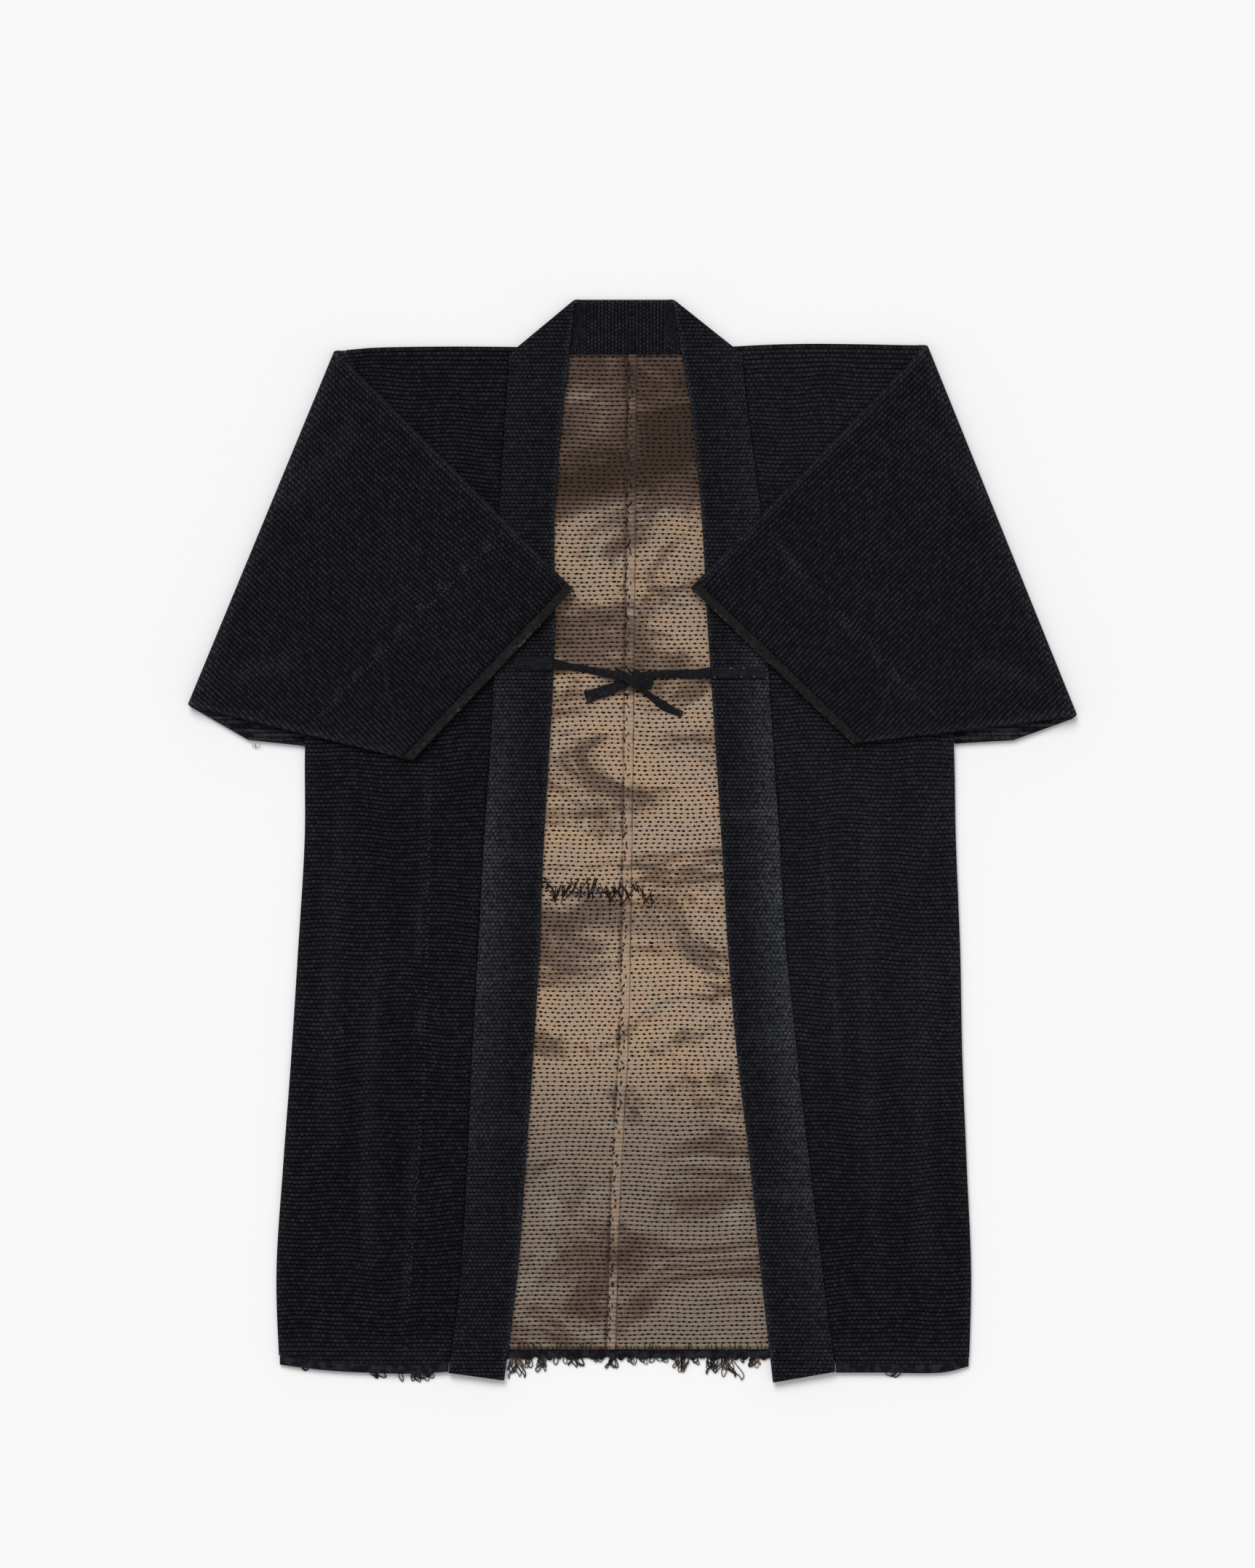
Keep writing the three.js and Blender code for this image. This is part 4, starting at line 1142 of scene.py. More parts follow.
@dataclass
class SleeveHalf:
    """A flattened sleeve, folded over the front, and the tape that binds its cuff."""

    side: SidePattern
    material: Material
    tape: Material
    stations: int = 44
    hidden_step: float = 24.0
    neutral: float = 3.2
    rim: float = 1.6
    stray: float = 0.8

    def fold(self) -> Fold:
        """The fold that brings the sleeve over the front."""
        return Fold(self.side.sleeve_fold, (1, 0), SLEEVE_FOLD_CENTRE, self.neutral)

    def top_at(self, x: Array) -> Array:
        """The sleeve's top edge."""
        (x0, y0), (x1, y1) = self.side.sleeve_top
        return lerp(y0, y1, (x - x0) / (x1 - x0))

    def under_at(self, x: Array) -> Array:
        """The sleeve's lower edge."""
        return self.side.sleeve_under.read("across", x, "y")

    def ring(self, top_x: float, under_x: float) -> Array:
        """A ring of the sleeve, by the places of its top and its lower point."""
        return np.array([[top_x, float(self.top_at(top_x))], [under_x, float(self.under_at(under_x))]])

    def fold_ring(self, s: float) -> Array:
        """The ring that lies a given way past the start of the fold.

        Args:
            s: the way past it.

        Returns:
            The ring's top and lower points.
        """
        fold = self.fold()
        found = []
        for height in (self.top_at, self.under_at):
            low, high = self.side.armhole_top[0], self.side.cuff_top
            for _ in range(40):
                middle = (low + high) / 2
                if fold.past(middle, float(height(middle))) < s:
                    low = middle
                else:
                    high = middle
            found.append(low)
        return self.ring(*found)

    def cuff_ring(self, inset: float) -> Array:
        """The ring that lies a given way in from the cuff."""
        return self.ring(self.side.cuff_top - inset, self.side.cuff_bottom - inset)

    def place(self, rings: Array, distance: Array, z: Array) -> Array:
        """Points of the folded sleeve.

        Args:
            rings: the rings, each a top and a lower point.
            distance: for each ring and point, the way from the top edge.
            z: the points' heights before the fold.

        Returns:
            The points, with the flap lifted over the collar.
        """
        side, fold = self.side, self.fold()
        t = np.clip(distance / (rings[:, 0, 1:] - rings[:, 1, 1:]), 0, 1)
        x, y = lerp(rings[:, 0, :1], rings[:, 1, :1], t), lerp(rings[:, 0, 1:], rings[:, 1, 1:], t)
        points = fold.over(x, y, z)
        lift = side.flap_lift(points[..., 0], points[..., 1])
        points[..., 2] += np.where(fold.past(x, y) >= fold.turn, lift, 0)
        return points

    def profile(self, rings: Array, extra: float, fine: float) -> tuple[Array, ...]:
        """The way round the sleeve, from its top edge along the face that shows and back.

        Args:
            rings: the rings.
            extra: how far the outside stands out.
            fine: the step between points on the face that shows.

        Returns:
            Distances and heights of the outside, then of the inside, and whether a point shows.
        """
        depth = rings[:, 0, 1:] - rings[:, 1, 1:]
        longest = self.side.armhole_top[1] - self.side.armhole_bottom[1]
        angle = np.linspace(0, math.pi, 7)[1:-1]
        shown = np.arange(math.ceil(self.rim / fine) * fine, longest - 1.0, fine)
        hidden = steps(self.rim, longest - self.rim, self.hidden_step)[::-1]
        half = SLEEVE_DEPTH / 2
        near_end = self.rim * (1 - np.sin(angle))
        top_edge = np.stack([near_end, half + (half + extra) * np.cos(angle)])
        far_edge = np.stack([near_end, half - (half + extra) * np.cos(angle)])
        ones = np.ones_like(depth)
        outside = np.concatenate([
            np.minimum(shown * ones, depth - self.rim), depth - far_edge[0],
            np.minimum(hidden * ones, depth - self.rim), top_edge[0] * ones,
        ], axis=1)
        z_out = np.concatenate([np.full(len(shown), -extra), far_edge[1],
                                np.full(len(hidden), SLEEVE_DEPTH + extra), top_edge[1]])
        # The inside stops short of both edges, and a little unevenly, so that its points stay apart.
        gap = np.minimum(2.8 + 0.12 * np.clip(outside, 0, depth), 3.2)
        inside = np.clip(outside, gap, depth - 3.0 - 0.01 * outside / depth)
        flat = SLEEVE_SLIT / 2
        z_in = np.concatenate([np.full(len(shown), half - flat), half - flat * np.cos(angle),
                               np.full(len(hidden), half + flat), half + flat * np.cos(angle)])
        is_shown = np.concatenate([np.ones(len(shown)), np.zeros(2 * len(angle) + len(hidden))])
        return outside, z_out, inside, z_in, is_shown

    def tube(self, rings: Array, extra: float, fine: float, ribbed: bool) -> ClothWall:
        """A wall of cloth round the given rings.

        Args:
            rings: the rings.
            extra: how far the outside stands out.
            fine: the step between points on the face that shows.
            ribbed: whether the stitch rows are raised.

        Returns:
            The wall.
        """
        side, fold = self.side, self.fold()
        outside, z_out, inside, z_in, shown = self.profile(rings, extra, fine)
        length = rings[:, 0, :1]
        depth = rings[:, 0, 1:] - rings[:, 1, 1:]
        z = np.broadcast_to(z_out, outside.shape).copy()
        middle = self.place(rings, outside, z)
        x, y = side.sign * middle[..., 0], middle[..., 1]
        flap = ease((fold.past(length, self.top_at(length)) - fold.turn) / 3.0) * shown
        lines = wander(length, outside, 5.0 + side.sign)
        clear = ease((depth - outside - 2.0) / 8.0) * ease((outside - 2.0) / 8.0)
        if ribbed:
            z = z - flap * clear * (ROW_HEIGHT * ridges(outside, ROW_PITCH) + relief(FLAP_CREASES, x, y))
        moved = outside + shown * clear * (self.stray * lines if ribbed else 0.0)
        face = self.place(rings, moved, z)
        back = self.place(rings, inside, np.broadcast_to(z_in, inside.shape))
        way = np.concatenate([[0], np.cumsum(np.hypot(*np.diff(rings[:, 0], axis=0).T))])[:, None]
        rows = closed(stack(way, outside))
        rows[:, -1, 1] = -1.0
        if ribbed:
            edges = np.exp(-(((depth - outside) / 5.0) ** 2)) + np.exp(-((outside / 5.0) ** 2))
            bend = np.exp(-(((fold.past(length, self.top_at(length)) - fold.turn / 2) / 8.0) ** 2))
            wear = worn(FLAP_CREASES, x, y) + 0.4 * edges + 0.35 * bend + 0.08
        else:
            outer = np.linspace(0, 1, len(rings))[:, None] ** 2
            patchy = 0.6 + 0.4 * np.sin(outside / 23.0 + 2 * side.sign) * np.sin(outside / 9.0)
            wear = outer**3 * patchy * (1.0 if side.half is Half.RIGHT else 0.6) + 0.04
        wall = ClothWall()
        wall.patch(closed(face), closed(back), rows, wear=closed(wear))
        return wall

    def build(self) -> Object:
        """Makes the sleeve and its cuff binding."""
        side, fold = self.side, self.fold()
        start, turned = self.fold_ring(0), self.fold_ring(fold.turn)
        armhole = np.array([side.armhole_top, side.armhole_bottom], float)
        halfway = self.ring(*lerp(armhole[:, 0], start[:, 0], 0.5))
        cuff = self.cuff_ring(CUFF_BINDING + SEAM_GAP)
        share = np.linspace(0, 1, self.stations + 1)[1:]
        bends = [self.fold_ring(s) for s in steps(0, fold.turn, fold.turn / 8)]
        flap = [self.ring(*lerp(turned[:, 0], cuff[:, 0], t)) for t in share]
        rings = np.array([armhole, halfway, *bends, *flap])
        name = f"sleeve_{side.name}"
        cloth = self.tube(rings, 0.0, ROW_PITCH / SAMPLES_PER_ROW, True)
        binding_name = f"cuff_binding_{side.name}"
        insets = (CUFF_BINDING, CUFF_BINDING - 0.5, 6.5, 4.5, 2.5, 0.7, 0.0)
        tape_rings = np.array([self.cuff_ring(inset) for inset in insets])
        binding = self.tube(tape_rings, BINDING_EXTRA, 3.0, False).build(
            f"{binding_name}_tape", self.tape, side.sign)
        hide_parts(binding_name)
        piece = cloth.build(f"{name}_cloth", self.material, side.sign)
        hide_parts(name)
        f"body_{side.name}"
        return piece


# How far the collar has faded from the hem to the neck.
FADE = ("y", "fade")
COLLAR_FADE = {
    Half.RIGHT: Table(FADE, ((500, 0.1), (300, 0.12), (100, 0.4), (0, 0.68), (-150, 0.55), (-250, 0.3),
                             (-400, 0.06), (-500, 0.04))),
    Half.LEFT: Table(FADE, ((500, 0.15), (300, 0.3), (100, 0.75), (0, 1.0), (-150, 0.95), (-300, 0.6),
                            (-420, 0.25), (-500, 0.15))),
}


@dataclass
class Collar:
    """The collar band: folded lengthwise, turned at both sides of the neck, from hem to hem."""

    material: Material
    profile_steps: int = 6
    bend_centre: float = 4.35
    neutral: float = 2.3
    rim: float = 1.6
    sink: float = 1.5

    def fold(self, side: SidePattern) -> Fold:
        """The fold at one side of the neck."""
        return Fold(side.neck_fold, (1, 1), self.bend_centre, self.neutral)

    def bend_line(self, side: SidePattern, s: float) -> Array:
        """The line across the band that lies a given way past the start of the bend.

        Args:
            side: the half of the coat.
            s: the way past it.

        Returns:
            The line's seam point and free point.
        """
        fold = self.fold(side)
        points = []
        for y in (NECK_SEAM_Y, NECK_SEAM_Y + NECK_BAND_WIDTH):
            x = fold.foot[0] + (s - (y - fold.foot[1]) * fold.normal[1]) / fold.normal[0]
            points.append((x, y))
        return np.array(points)

    def neck_lines(self, side: SidePattern) -> Array:
        """Lines across the neck's part of the band, up to the fold.

        Args:
            side: the half of the coat.

        Returns:
            A seam point and a free point for each.
        """
        neck = [((a, NECK_SEAM_Y), (a, NECK_SEAM_Y + NECK_BAND_WIDTH))
                for a in steps(0, side.neck_run, NECK_ROW_PITCH / SAMPLES_PER_ROW)]
        first, last = np.array(neck[-1]), self.bend_line(side, 0)
        wedge = [lerp(first, last, t) for t in np.linspace(0, 1, 7)[1:]]
        return np.array([*neck, *wedge])

    def front_lines(self, side: SidePattern) -> Array:
        """Lines across the band from the fold to the front hem, in unfolded numbers.

        Args:
            side: the half of the coat.

        Returns:
            A seam point and a free point for each.
        """
        fold = self.fold(side)
        bends = [self.bend_line(side, s) for s in steps(0, fold.turn, fold.turn / 8)]
        seam_from, free_from = bends[-1] - fold.turn * fold.normal
        start = seam_from[1] - COLLAR_FAN
        seam_to = np.array([float(side.seam_edge(start)), start])
        free_to = np.array([float(side.free_edge(start)), start])
        fan = [(lerp(seam_from, seam_to, t), lerp(free_from, free_to, t)) for t in np.linspace(0, 1, 21)[1:]]
        rows = []
        for y in np.arange(start, side.collar_end, -COLLAR_ROW_PITCH / COLLAR_SAMPLES_PER_ROW)[1:]:
            free_y = y - side.collar_tilt * float(ease((side.collar_end + 60 - y) / 60))
            rows.append(((float(side.seam_edge(y)), y), (float(side.free_edge(free_y)), free_y)))
        lines = [[fold.flat(*p) for p in line] for line in [*fan, *rows]]
        return np.array([*bends, *lines])

    def section(self) -> tuple[Array, ...]:
        """The band's folded section, from the seam edge under the band to the free edge and back.

        Returns:
            Shares of the width and heights of the outside, then of the inside, and the side's sign.
        """
        rim = 1 - self.rim / NECK_BAND_WIDTH
        angle = np.linspace(-math.pi / 2, math.pi / 2, 7)[1:-1]
        shares = np.concatenate([[0, 0.02, 0.05], np.linspace(0.12, 0.9, self.profile_steps), [0.95, rim]])
        nose = rim + (1 - rim) * np.cos(angle)
        middle = COLLAR_DEPTH / 2
        count = len(shares)
        share = np.concatenate([shares, nose, shares[::-1]])
        height = np.concatenate([np.zeros(count), middle + middle * np.sin(angle),
                                 np.full(count, COLLAR_DEPTH)])
        inner = np.minimum(share, 1 - 2.6 / NECK_BAND_WIDTH + 0.002 * share)
        slit = COLLAR_SLIT / 2
        inner_height = np.concatenate([np.full(count, middle - slit), middle + slit * np.sin(angle),
                                       np.full(count, middle + slit)])
        faces = np.concatenate([-np.ones(count), np.zeros(len(angle)), np.ones(count)])
        return share, height, inner, inner_height, faces

    def place(self, side: SidePattern, lines: Array, share: Array, z: Array) -> Array:
        """Points of the band.

        Args:
            side: the half that the lines belong to.
            lines: lines across the band, each a seam point and a free point.
            share: the points' shares of the width.
            z: their heights before the fold.

        Returns:
            The points, in the coat's own X.
        """
        fold = self.fold(side)
        x = lerp(lines[:, 0, :1], lines[:, 1, :1], share)
        y = lerp(lines[:, 0, 1:], lines[:, 1, 1:], share)
        points = fold.over(x, y, z)
        turned = fold.past(x, y) >= fold.turn - 1e-6
        sink = self.sink * ease((NECK_SEAM_Y - points[..., 1]) / 55.0)
        points[..., 2] += np.where(turned, side.swell(points[..., 0], points[..., 1]) - sink, 0)
        points[..., 0] *= side.sign
        return points

    def half(self, wall: ClothWall, side: SidePattern) -> None:
        """Adds one half of the band to a wall.

        Args:
            wall: the wall.
            side: the half of the coat.
        """
        share, height, inner, inner_height, faces = self.section()
        for lines, in_front in ((self.neck_lines(side), False), (self.front_lines(side), True)):
            middle = self.place(side, lines, share, height)
            x, y = middle[..., 0], middle[..., 1]
            if in_front:
                row = NECK_SEAM_Y - COLLAR_FAN - y
                shown = (faces < 0) * ease((row - 4.0) / 20.0)
            else:
                row = lines[:, 0, :1] * COLLAR_ROW_PITCH / NECK_ROW_PITCH
                shown = (faces > 0) * ease((side.neck_run - np.abs(x)) / 3.0)
            edge = np.exp(-((share * NECK_BAND_WIDTH / 1.4) ** 2))
            raised = shown * ROW_HEIGHT * ridges(row, COLLAR_ROW_PITCH)
            raised = raised + shown * np.maximum(relief(COLLAR_CREASES, x, y), -0.3)
            raised = raised - 0.5 * edge * (faces != 0)
            z = height + faces * raised
            face = self.place(side, lines, share, z)
            back = self.place(side, lines, inner, inner_height)
            band = COLLAR_FADE[side.half].read("y", y, "fade") if in_front else 0.05
            fade = band * np.exp(-((share / 0.42) ** 2)) + 0.12 + 0.5 * np.exp(-(((1 - share) / 0.05) ** 2))
            wear = fade + worn(COLLAR_CREASES, x, y)
            rows = stack(share * NECK_BAND_WIDTH, row)
            if side.half is Half.RIGHT:
                face, back, rows, wear = (a[::-1] for a in (face, back, rows, wear))
            wall.patch(face, back, rows, wear=wear)

    def build(self) -> Object:
        """Makes the collar."""
        wall = ClothWall()
        for side in SIDES:
            self.half(wall, side)
        piece = wall.build("collar_cloth", self.material)
        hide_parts("collar")
        return piece


def smooth_line(points: list, step: float) -> Array:
    """A smooth line through given points.

    Args:
        points: the points, of any number of coordinates.
        step: about how far apart the line's own points are.

    Returns:
        The line's points.
    """
    p = np.array(points, float)
    padded = np.concatenate([[2 * p[0] - p[1]], p, [2 * p[-1] - p[-2]]])
    line = []
    for i in range(1, len(padded) - 2):
        a, b, c, d = padded[i - 1:i + 3]
        count = max(2, int(round(np.linalg.norm((c - b)[:3]) / step)))
        t = np.linspace(0, 1, count, endpoint=False)[:, None]
        line.append(0.5 * (2 * b + (c - a) * t + (2 * a - 5 * b + 4 * c - d) * t**2
                           + (3 * b - a - 3 * c + d) * t**3))
    return np.concatenate([*line, p[-1:]])


class Tubes:
    """Closed tubes along lines, joined in one mesh."""

    def __init__(self) -> None:
        """Starts with none."""
        self.points: list[Array] = []
        self.rows: list[Array] = []
        self.faces: list[list[int]] = []
        self.wear: list[Array] = []
        self.count = 0

    def add(self, rings: Array, wear: float | Array = 0.0) -> None:
        """Adds a tube.

        Args:
            rings: its rings of points, in order.
            wear: how worn each ring is.
        """
        n, m = rings.shape[:2]
        ends = np.stack([rings[0].mean(0), rings[-1].mean(0)])
        grid = self.count + np.arange(n * m).reshape(n, m)
        for i in range(n - 1):
            for j in range(m):
                k = (j + 1) % m
                self.faces.append([grid[i, j], grid[i, k], grid[i + 1, k], grid[i + 1, j]])
        for j in range(m):
            k = (j + 1) % m
            self.faces.append([grid[0, k], grid[0, j], self.count + n * m])
            self.faces.append([grid[-1, j], grid[-1, k], self.count + n * m + 1])
        centres = rings.mean(1)
        way = np.concatenate([[0], np.cumsum(np.linalg.norm(np.diff(centres, axis=0), axis=1))])
        round_way = np.cumsum(np.linalg.norm(rings[0] - np.roll(rings[0], 1, axis=0), axis=1))
        rows = stack(way[:, None], round_way).reshape(-1, 2)
        self.points.append(np.concatenate([rings.reshape(-1, 3), ends]))
        self.rows.append(np.concatenate([rows, [[way[0], 0], [way[-1], 0]]]))
        worn_here = np.broadcast_to(np.asarray(wear, float).reshape(-1, 1), (n, m)).ravel()
        self.wear.append(np.concatenate([worn_here, worn_here[[0, -1]]]))
        self.count += n * m + 2

    def thread(self, points: list, step: float, radius: float, sides: int = 4) -> None:
        """Adds a round thread.

        Args:
            points: points that it runs through smoothly.
            step: about how far apart its rings are.
            radius: its radius.
            sides: how many points a ring has.
        """
        self.add(sections(smooth_line(points, step), 2 * radius, 2 * radius, sides))

    def build(self, name: str, material: Material) -> Object:
        """Makes the joined tubes.

        Args:
            name: the piece's name.
            material: its material.

        Returns:
            The piece.
        """
        corners = np.concatenate([np.array(f) for f in self.faces])
        return make_piece(name, np.concatenate(self.points), self.faces, material,
                          np.concatenate(self.rows)[corners], {"wear": np.concatenate(self.wear)})


def sections(line: Array, width: float | Array, thickness: float | Array, sides: int,
             level: Array | None = None, twist: float | Array = 0.0, squareness: float = 1.0) -> Array:
    """Oval sections along a line.

    Args:
        line: the line's points.
        width: the sections' width, for all or for each.
        thickness: their thickness.
        sides: how many points a section has.
        level: a direction that the width keeps to; without it the width stays level.
        twist: how far each section turns about the line, in radians.
        squareness: 1 for an oval, and less for a flatter band.

    Returns:
        A ring of points for each point of the line.
    """
    along = np.gradient(line, axis=0)
    along /= np.linalg.norm(along, axis=1, keepdims=True)
    if level is None:
        across = np.stack([-along[:, 1], along[:, 0], np.zeros(len(line))], axis=-1)
        steep = np.linalg.norm(across, axis=1) < 0.05
        across[steep] = (1, 0, 0)
    else:
        across = level - (along @ level)[:, None] * along
    across /= np.linalg.norm(across, axis=1, keepdims=True)
    upwards = np.cross(along, across)
    twist = np.asarray(twist, float).reshape(-1, 1)
    wide = np.asarray(width, float).reshape(-1, 1, 1) / 2
    thick = np.asarray(thickness, float).reshape(-1, 1, 1) / 2
    turned_across = across * np.cos(twist) + upwards * np.sin(twist)
    turned_up = upwards * np.cos(twist) - across * np.sin(twist)
    angle = 2 * math.pi * (np.arange(sides) + 0.5) / sides
    c, s = np.cos(angle), np.sin(angle)
    c, s = np.sign(c) * np.abs(c) ** squareness, np.sign(s) * np.abs(s) ** squareness
    return (line[:, None] + wide * c[None, :, None] * turned_across[:, None]
            + thick * s[None, :, None] * turned_up[:, None])


@dataclass
class Ties:
    """The two tapes knotted over the opening, and the tabs that hold them to the collar."""

    tape: Material
    pale_thread: Material
    width: float = 8.6
    thickness: float = 1.2

    # The wearer's right tape ends in the short twisted tail, the left one in the long flat tail.
    right_line: ClassVar = (
        (-72, 163, 9.1), (-64, 162, 7.6), (-56, 160.6, 4.6), (-42, 158.6, 3.9), (-28, 155.8, 4.7),
        (-18, 153.6, 6.6), (-9, 151, 7.6), (0, 146.4, 7.4), (8, 140.6, 6.2), (13.8, 136.2, 5.2),
        (24, 128.8, 4.5), (33, 122.8, 4.3), (46.5, 117.2, 4.3),
    )
    left_line: ClassVar = (
        (72.4, 155.4, 9.2), (64, 154.8, 7.6), (55, 154.3, 4.6), (40, 154.2, 3.9), (28, 153.9, 4.5),
        (17, 153.4, 5.6), (6, 151.8, 6.4), (-4, 147.6, 6), (-13, 142.8, 5.6), (-20, 140, 5.2),
        (-32, 136, 4.1), (-42.8, 132.7, 4),
    )

    def band(self, points: tuple, widths: tuple, thicknesses: tuple, twists: tuple,
             level: tuple | None = None) -> tuple[Array, Array]:
        """A flat tape along a line.

        Args:
            points: the line's points.
            widths: its width at even shares of the line.
            thicknesses: its thickness there.
            twists: how far it is turned there, in radians.
            level: a direction that its width keeps to.

        Returns:
            The line and the tape's rings.
        """
        line = smooth_line(points, 1.1)
        share = np.linspace(0, 1, len(line))

        def spread(values: tuple) -> Array:
            """Values at even shares of the line, read at each of its points."""
            return np.interp(share, np.linspace(0, 1, len(values)), values)

        rolled = 1 + 0.05 * np.sin(share * 40) + 0.03 * np.sin(share * 91)
        rings = sections(line, spread(widths) * rolled, spread(thicknesses), 16,
                         None if level is None else np.array(level, float), spread(twists), 0.7)
        return line, rings

    def tab(self, side: SidePattern, start: float, end: float, y: float, width: float) -> None:
        """A tab sewn flat on the collar.

        Args:
            side: the half of the coat.
            start: where it begins across.
            end: where it ends.
            y: its middle line.
            width: its width.
        """
        across = steps(start, end, 1.5)
        edge = np.array([0, 0.03, 0.1, 0.3, 0.5, 0.7, 0.9, 0.97, 1.0])
        drop = np.array([0.8, 0.25, 0.0, 0.0, 0.0, 0.0, 0.0, 0.25, 0.8])
        across, share = np.meshgrid(across, edge, indexing="ij")
        place = y + (share - 0.5) * width
        level = TAB_BASE + side.swell(across, y)
        grain = 0.12 * np.sin(across / 2.3) * np.sin(share * 7)
        wall = ClothWall()
        wall.patch(stack(across, place, level + self.thickness - np.interp(share, edge, drop) + grain),
                   stack(across, place, level), stack(across, share * width),
                   wear=np.full(across.shape, 0.25))
        name = f"tie_tab_{side.name}"
        piece = wall.build(f"{name}_tape", self.tape, side.sign)
        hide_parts(name)

    def tab_stitches(self) -> None:
        """The pale stitches along the left tab's edges."""
        thread = Tubes()
        places = ((91, 159.2), (103, 159.4), (101, 151.3), (112.5, 151.3), (76, 150.9), (120.5, 152.5))
        for i, (x, y) in enumerate(places):
            height = TAB_BASE + 1.1 + float(LEFT.swell(x, 160.0))
            reach = 0.9 if i % 3 else 1.3
            thread.thread([(x - reach, y, height - 0.3), (x, y + 0.2, height + 0.25),
                           (x + reach, y + 0.3, height - 0.3)], 0.6, 0.28, 5)
        piece = thread.build("tie_tab_stitches", self.pale_thread)

    def build(self) -> None:
        self.tab(RIGHT, 72.6, 108.5, 164.2, 12.0)
        self.tab(LEFT, 73.0, 122.0, 155.2, 9.6)
        self.tab_stitches()
        knot = Tubes()
        loops = (
            # The band that wraps over the knot from its upper left to its lower right.
            (((-14, 152, 4.8), (-15.5, 155.5, 6.8), (-10.5, 153.8, 10.4), (-2, 149.2, 11.8),
              (4.6, 144.4, 10.6), (7.8, 141.4, 7.4), (5, 143, 4.8)), 8.6, (0.45, 0.85, 0)),
            # The narrow turn beside it, where the left tape goes under.
            (((1, 154.6, 4.6), (2.8, 156.2, 6.4), (5.4, 153.6, 9), (6.6, 149.4, 9.6),
              (8.6, 145, 8), (10.2, 142, 5.4), (8, 144, 4.4)), 7.4, (0.9, 0.35, 0.1)),
            # The short loop that stands out on the right.
            (((0, 148, 6.4), (8, 146.4, 6.6), (15, 145.4, 6.2), (18.2, 145, 5.2),
              (15.5, 144.9, 4.2), (6, 146.2, 4), (-2, 148, 4.2)), 9.4, (0.1, 1, 0)),
        )
        for points, width, level in loops:
            _, rings = self.band(points, (width * 0.8, width, width, width * 0.85), (1.5, 1.7, 1.5, 1.3),
                                 (0.0, 0.15, 0.0), level)
            knot.add(rings, 0.25)
        knot_piece = knot.build("tie_knot_tape", self.tape)
        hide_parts("tie_knot")
        self.tie("tie_right_tape", self.right_line, (10.2, 7.2, 6.4, 8.0, 9.2, 5.0, 6.6, 8.6, 5.2),
                 (1.2, 1.2, 1.3, 1.6, 2.4, 2.6, 2.4, 1.8, 1.2), (0, 0, 0, 0, 0.2, 0.5, 0.5, 0.2, 0),
                 ("tie_tape_right", "tie_tail_short"))
        self.tie("tie_left_tape", self.left_line, (9.8, 8.0, 7.6, 7.0, 6.6, 9.0, 11.2, 11.4),
                 (1.2, 1.3, 1.3, 1.6, 2.0, 1.6, 1.3, 1.2), (0, 0.1, 0, 0, 0.1, 0.2, 0, 0),
                 ("tie_tape_left", "tie_tail_long"))

    def tie(self, name: str, points: tuple, widths: tuple, thicknesses: tuple, twists: tuple,
            nodes: tuple[str, str]) -> None:
        """Makes one tie, from the collar's edge through the knot to its tail.

        Args:
            name: the piece's name.
            points: its route.
            widths: its width at even shares of the route.
            thicknesses: its thickness there.
            twists: how far it is turned there.
            nodes: the solids that it stands for.
        """
        line, rings = self.band(points, widths, thicknesses, twists)
        tube = Tubes()
        tube.add(rings, np.interp(np.linspace(0, 1, len(line)), [0, 0.85, 1], [0.15, 0.25, 0.7]))
        piece = tube.build(name, self.tape)
        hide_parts(*nodes)


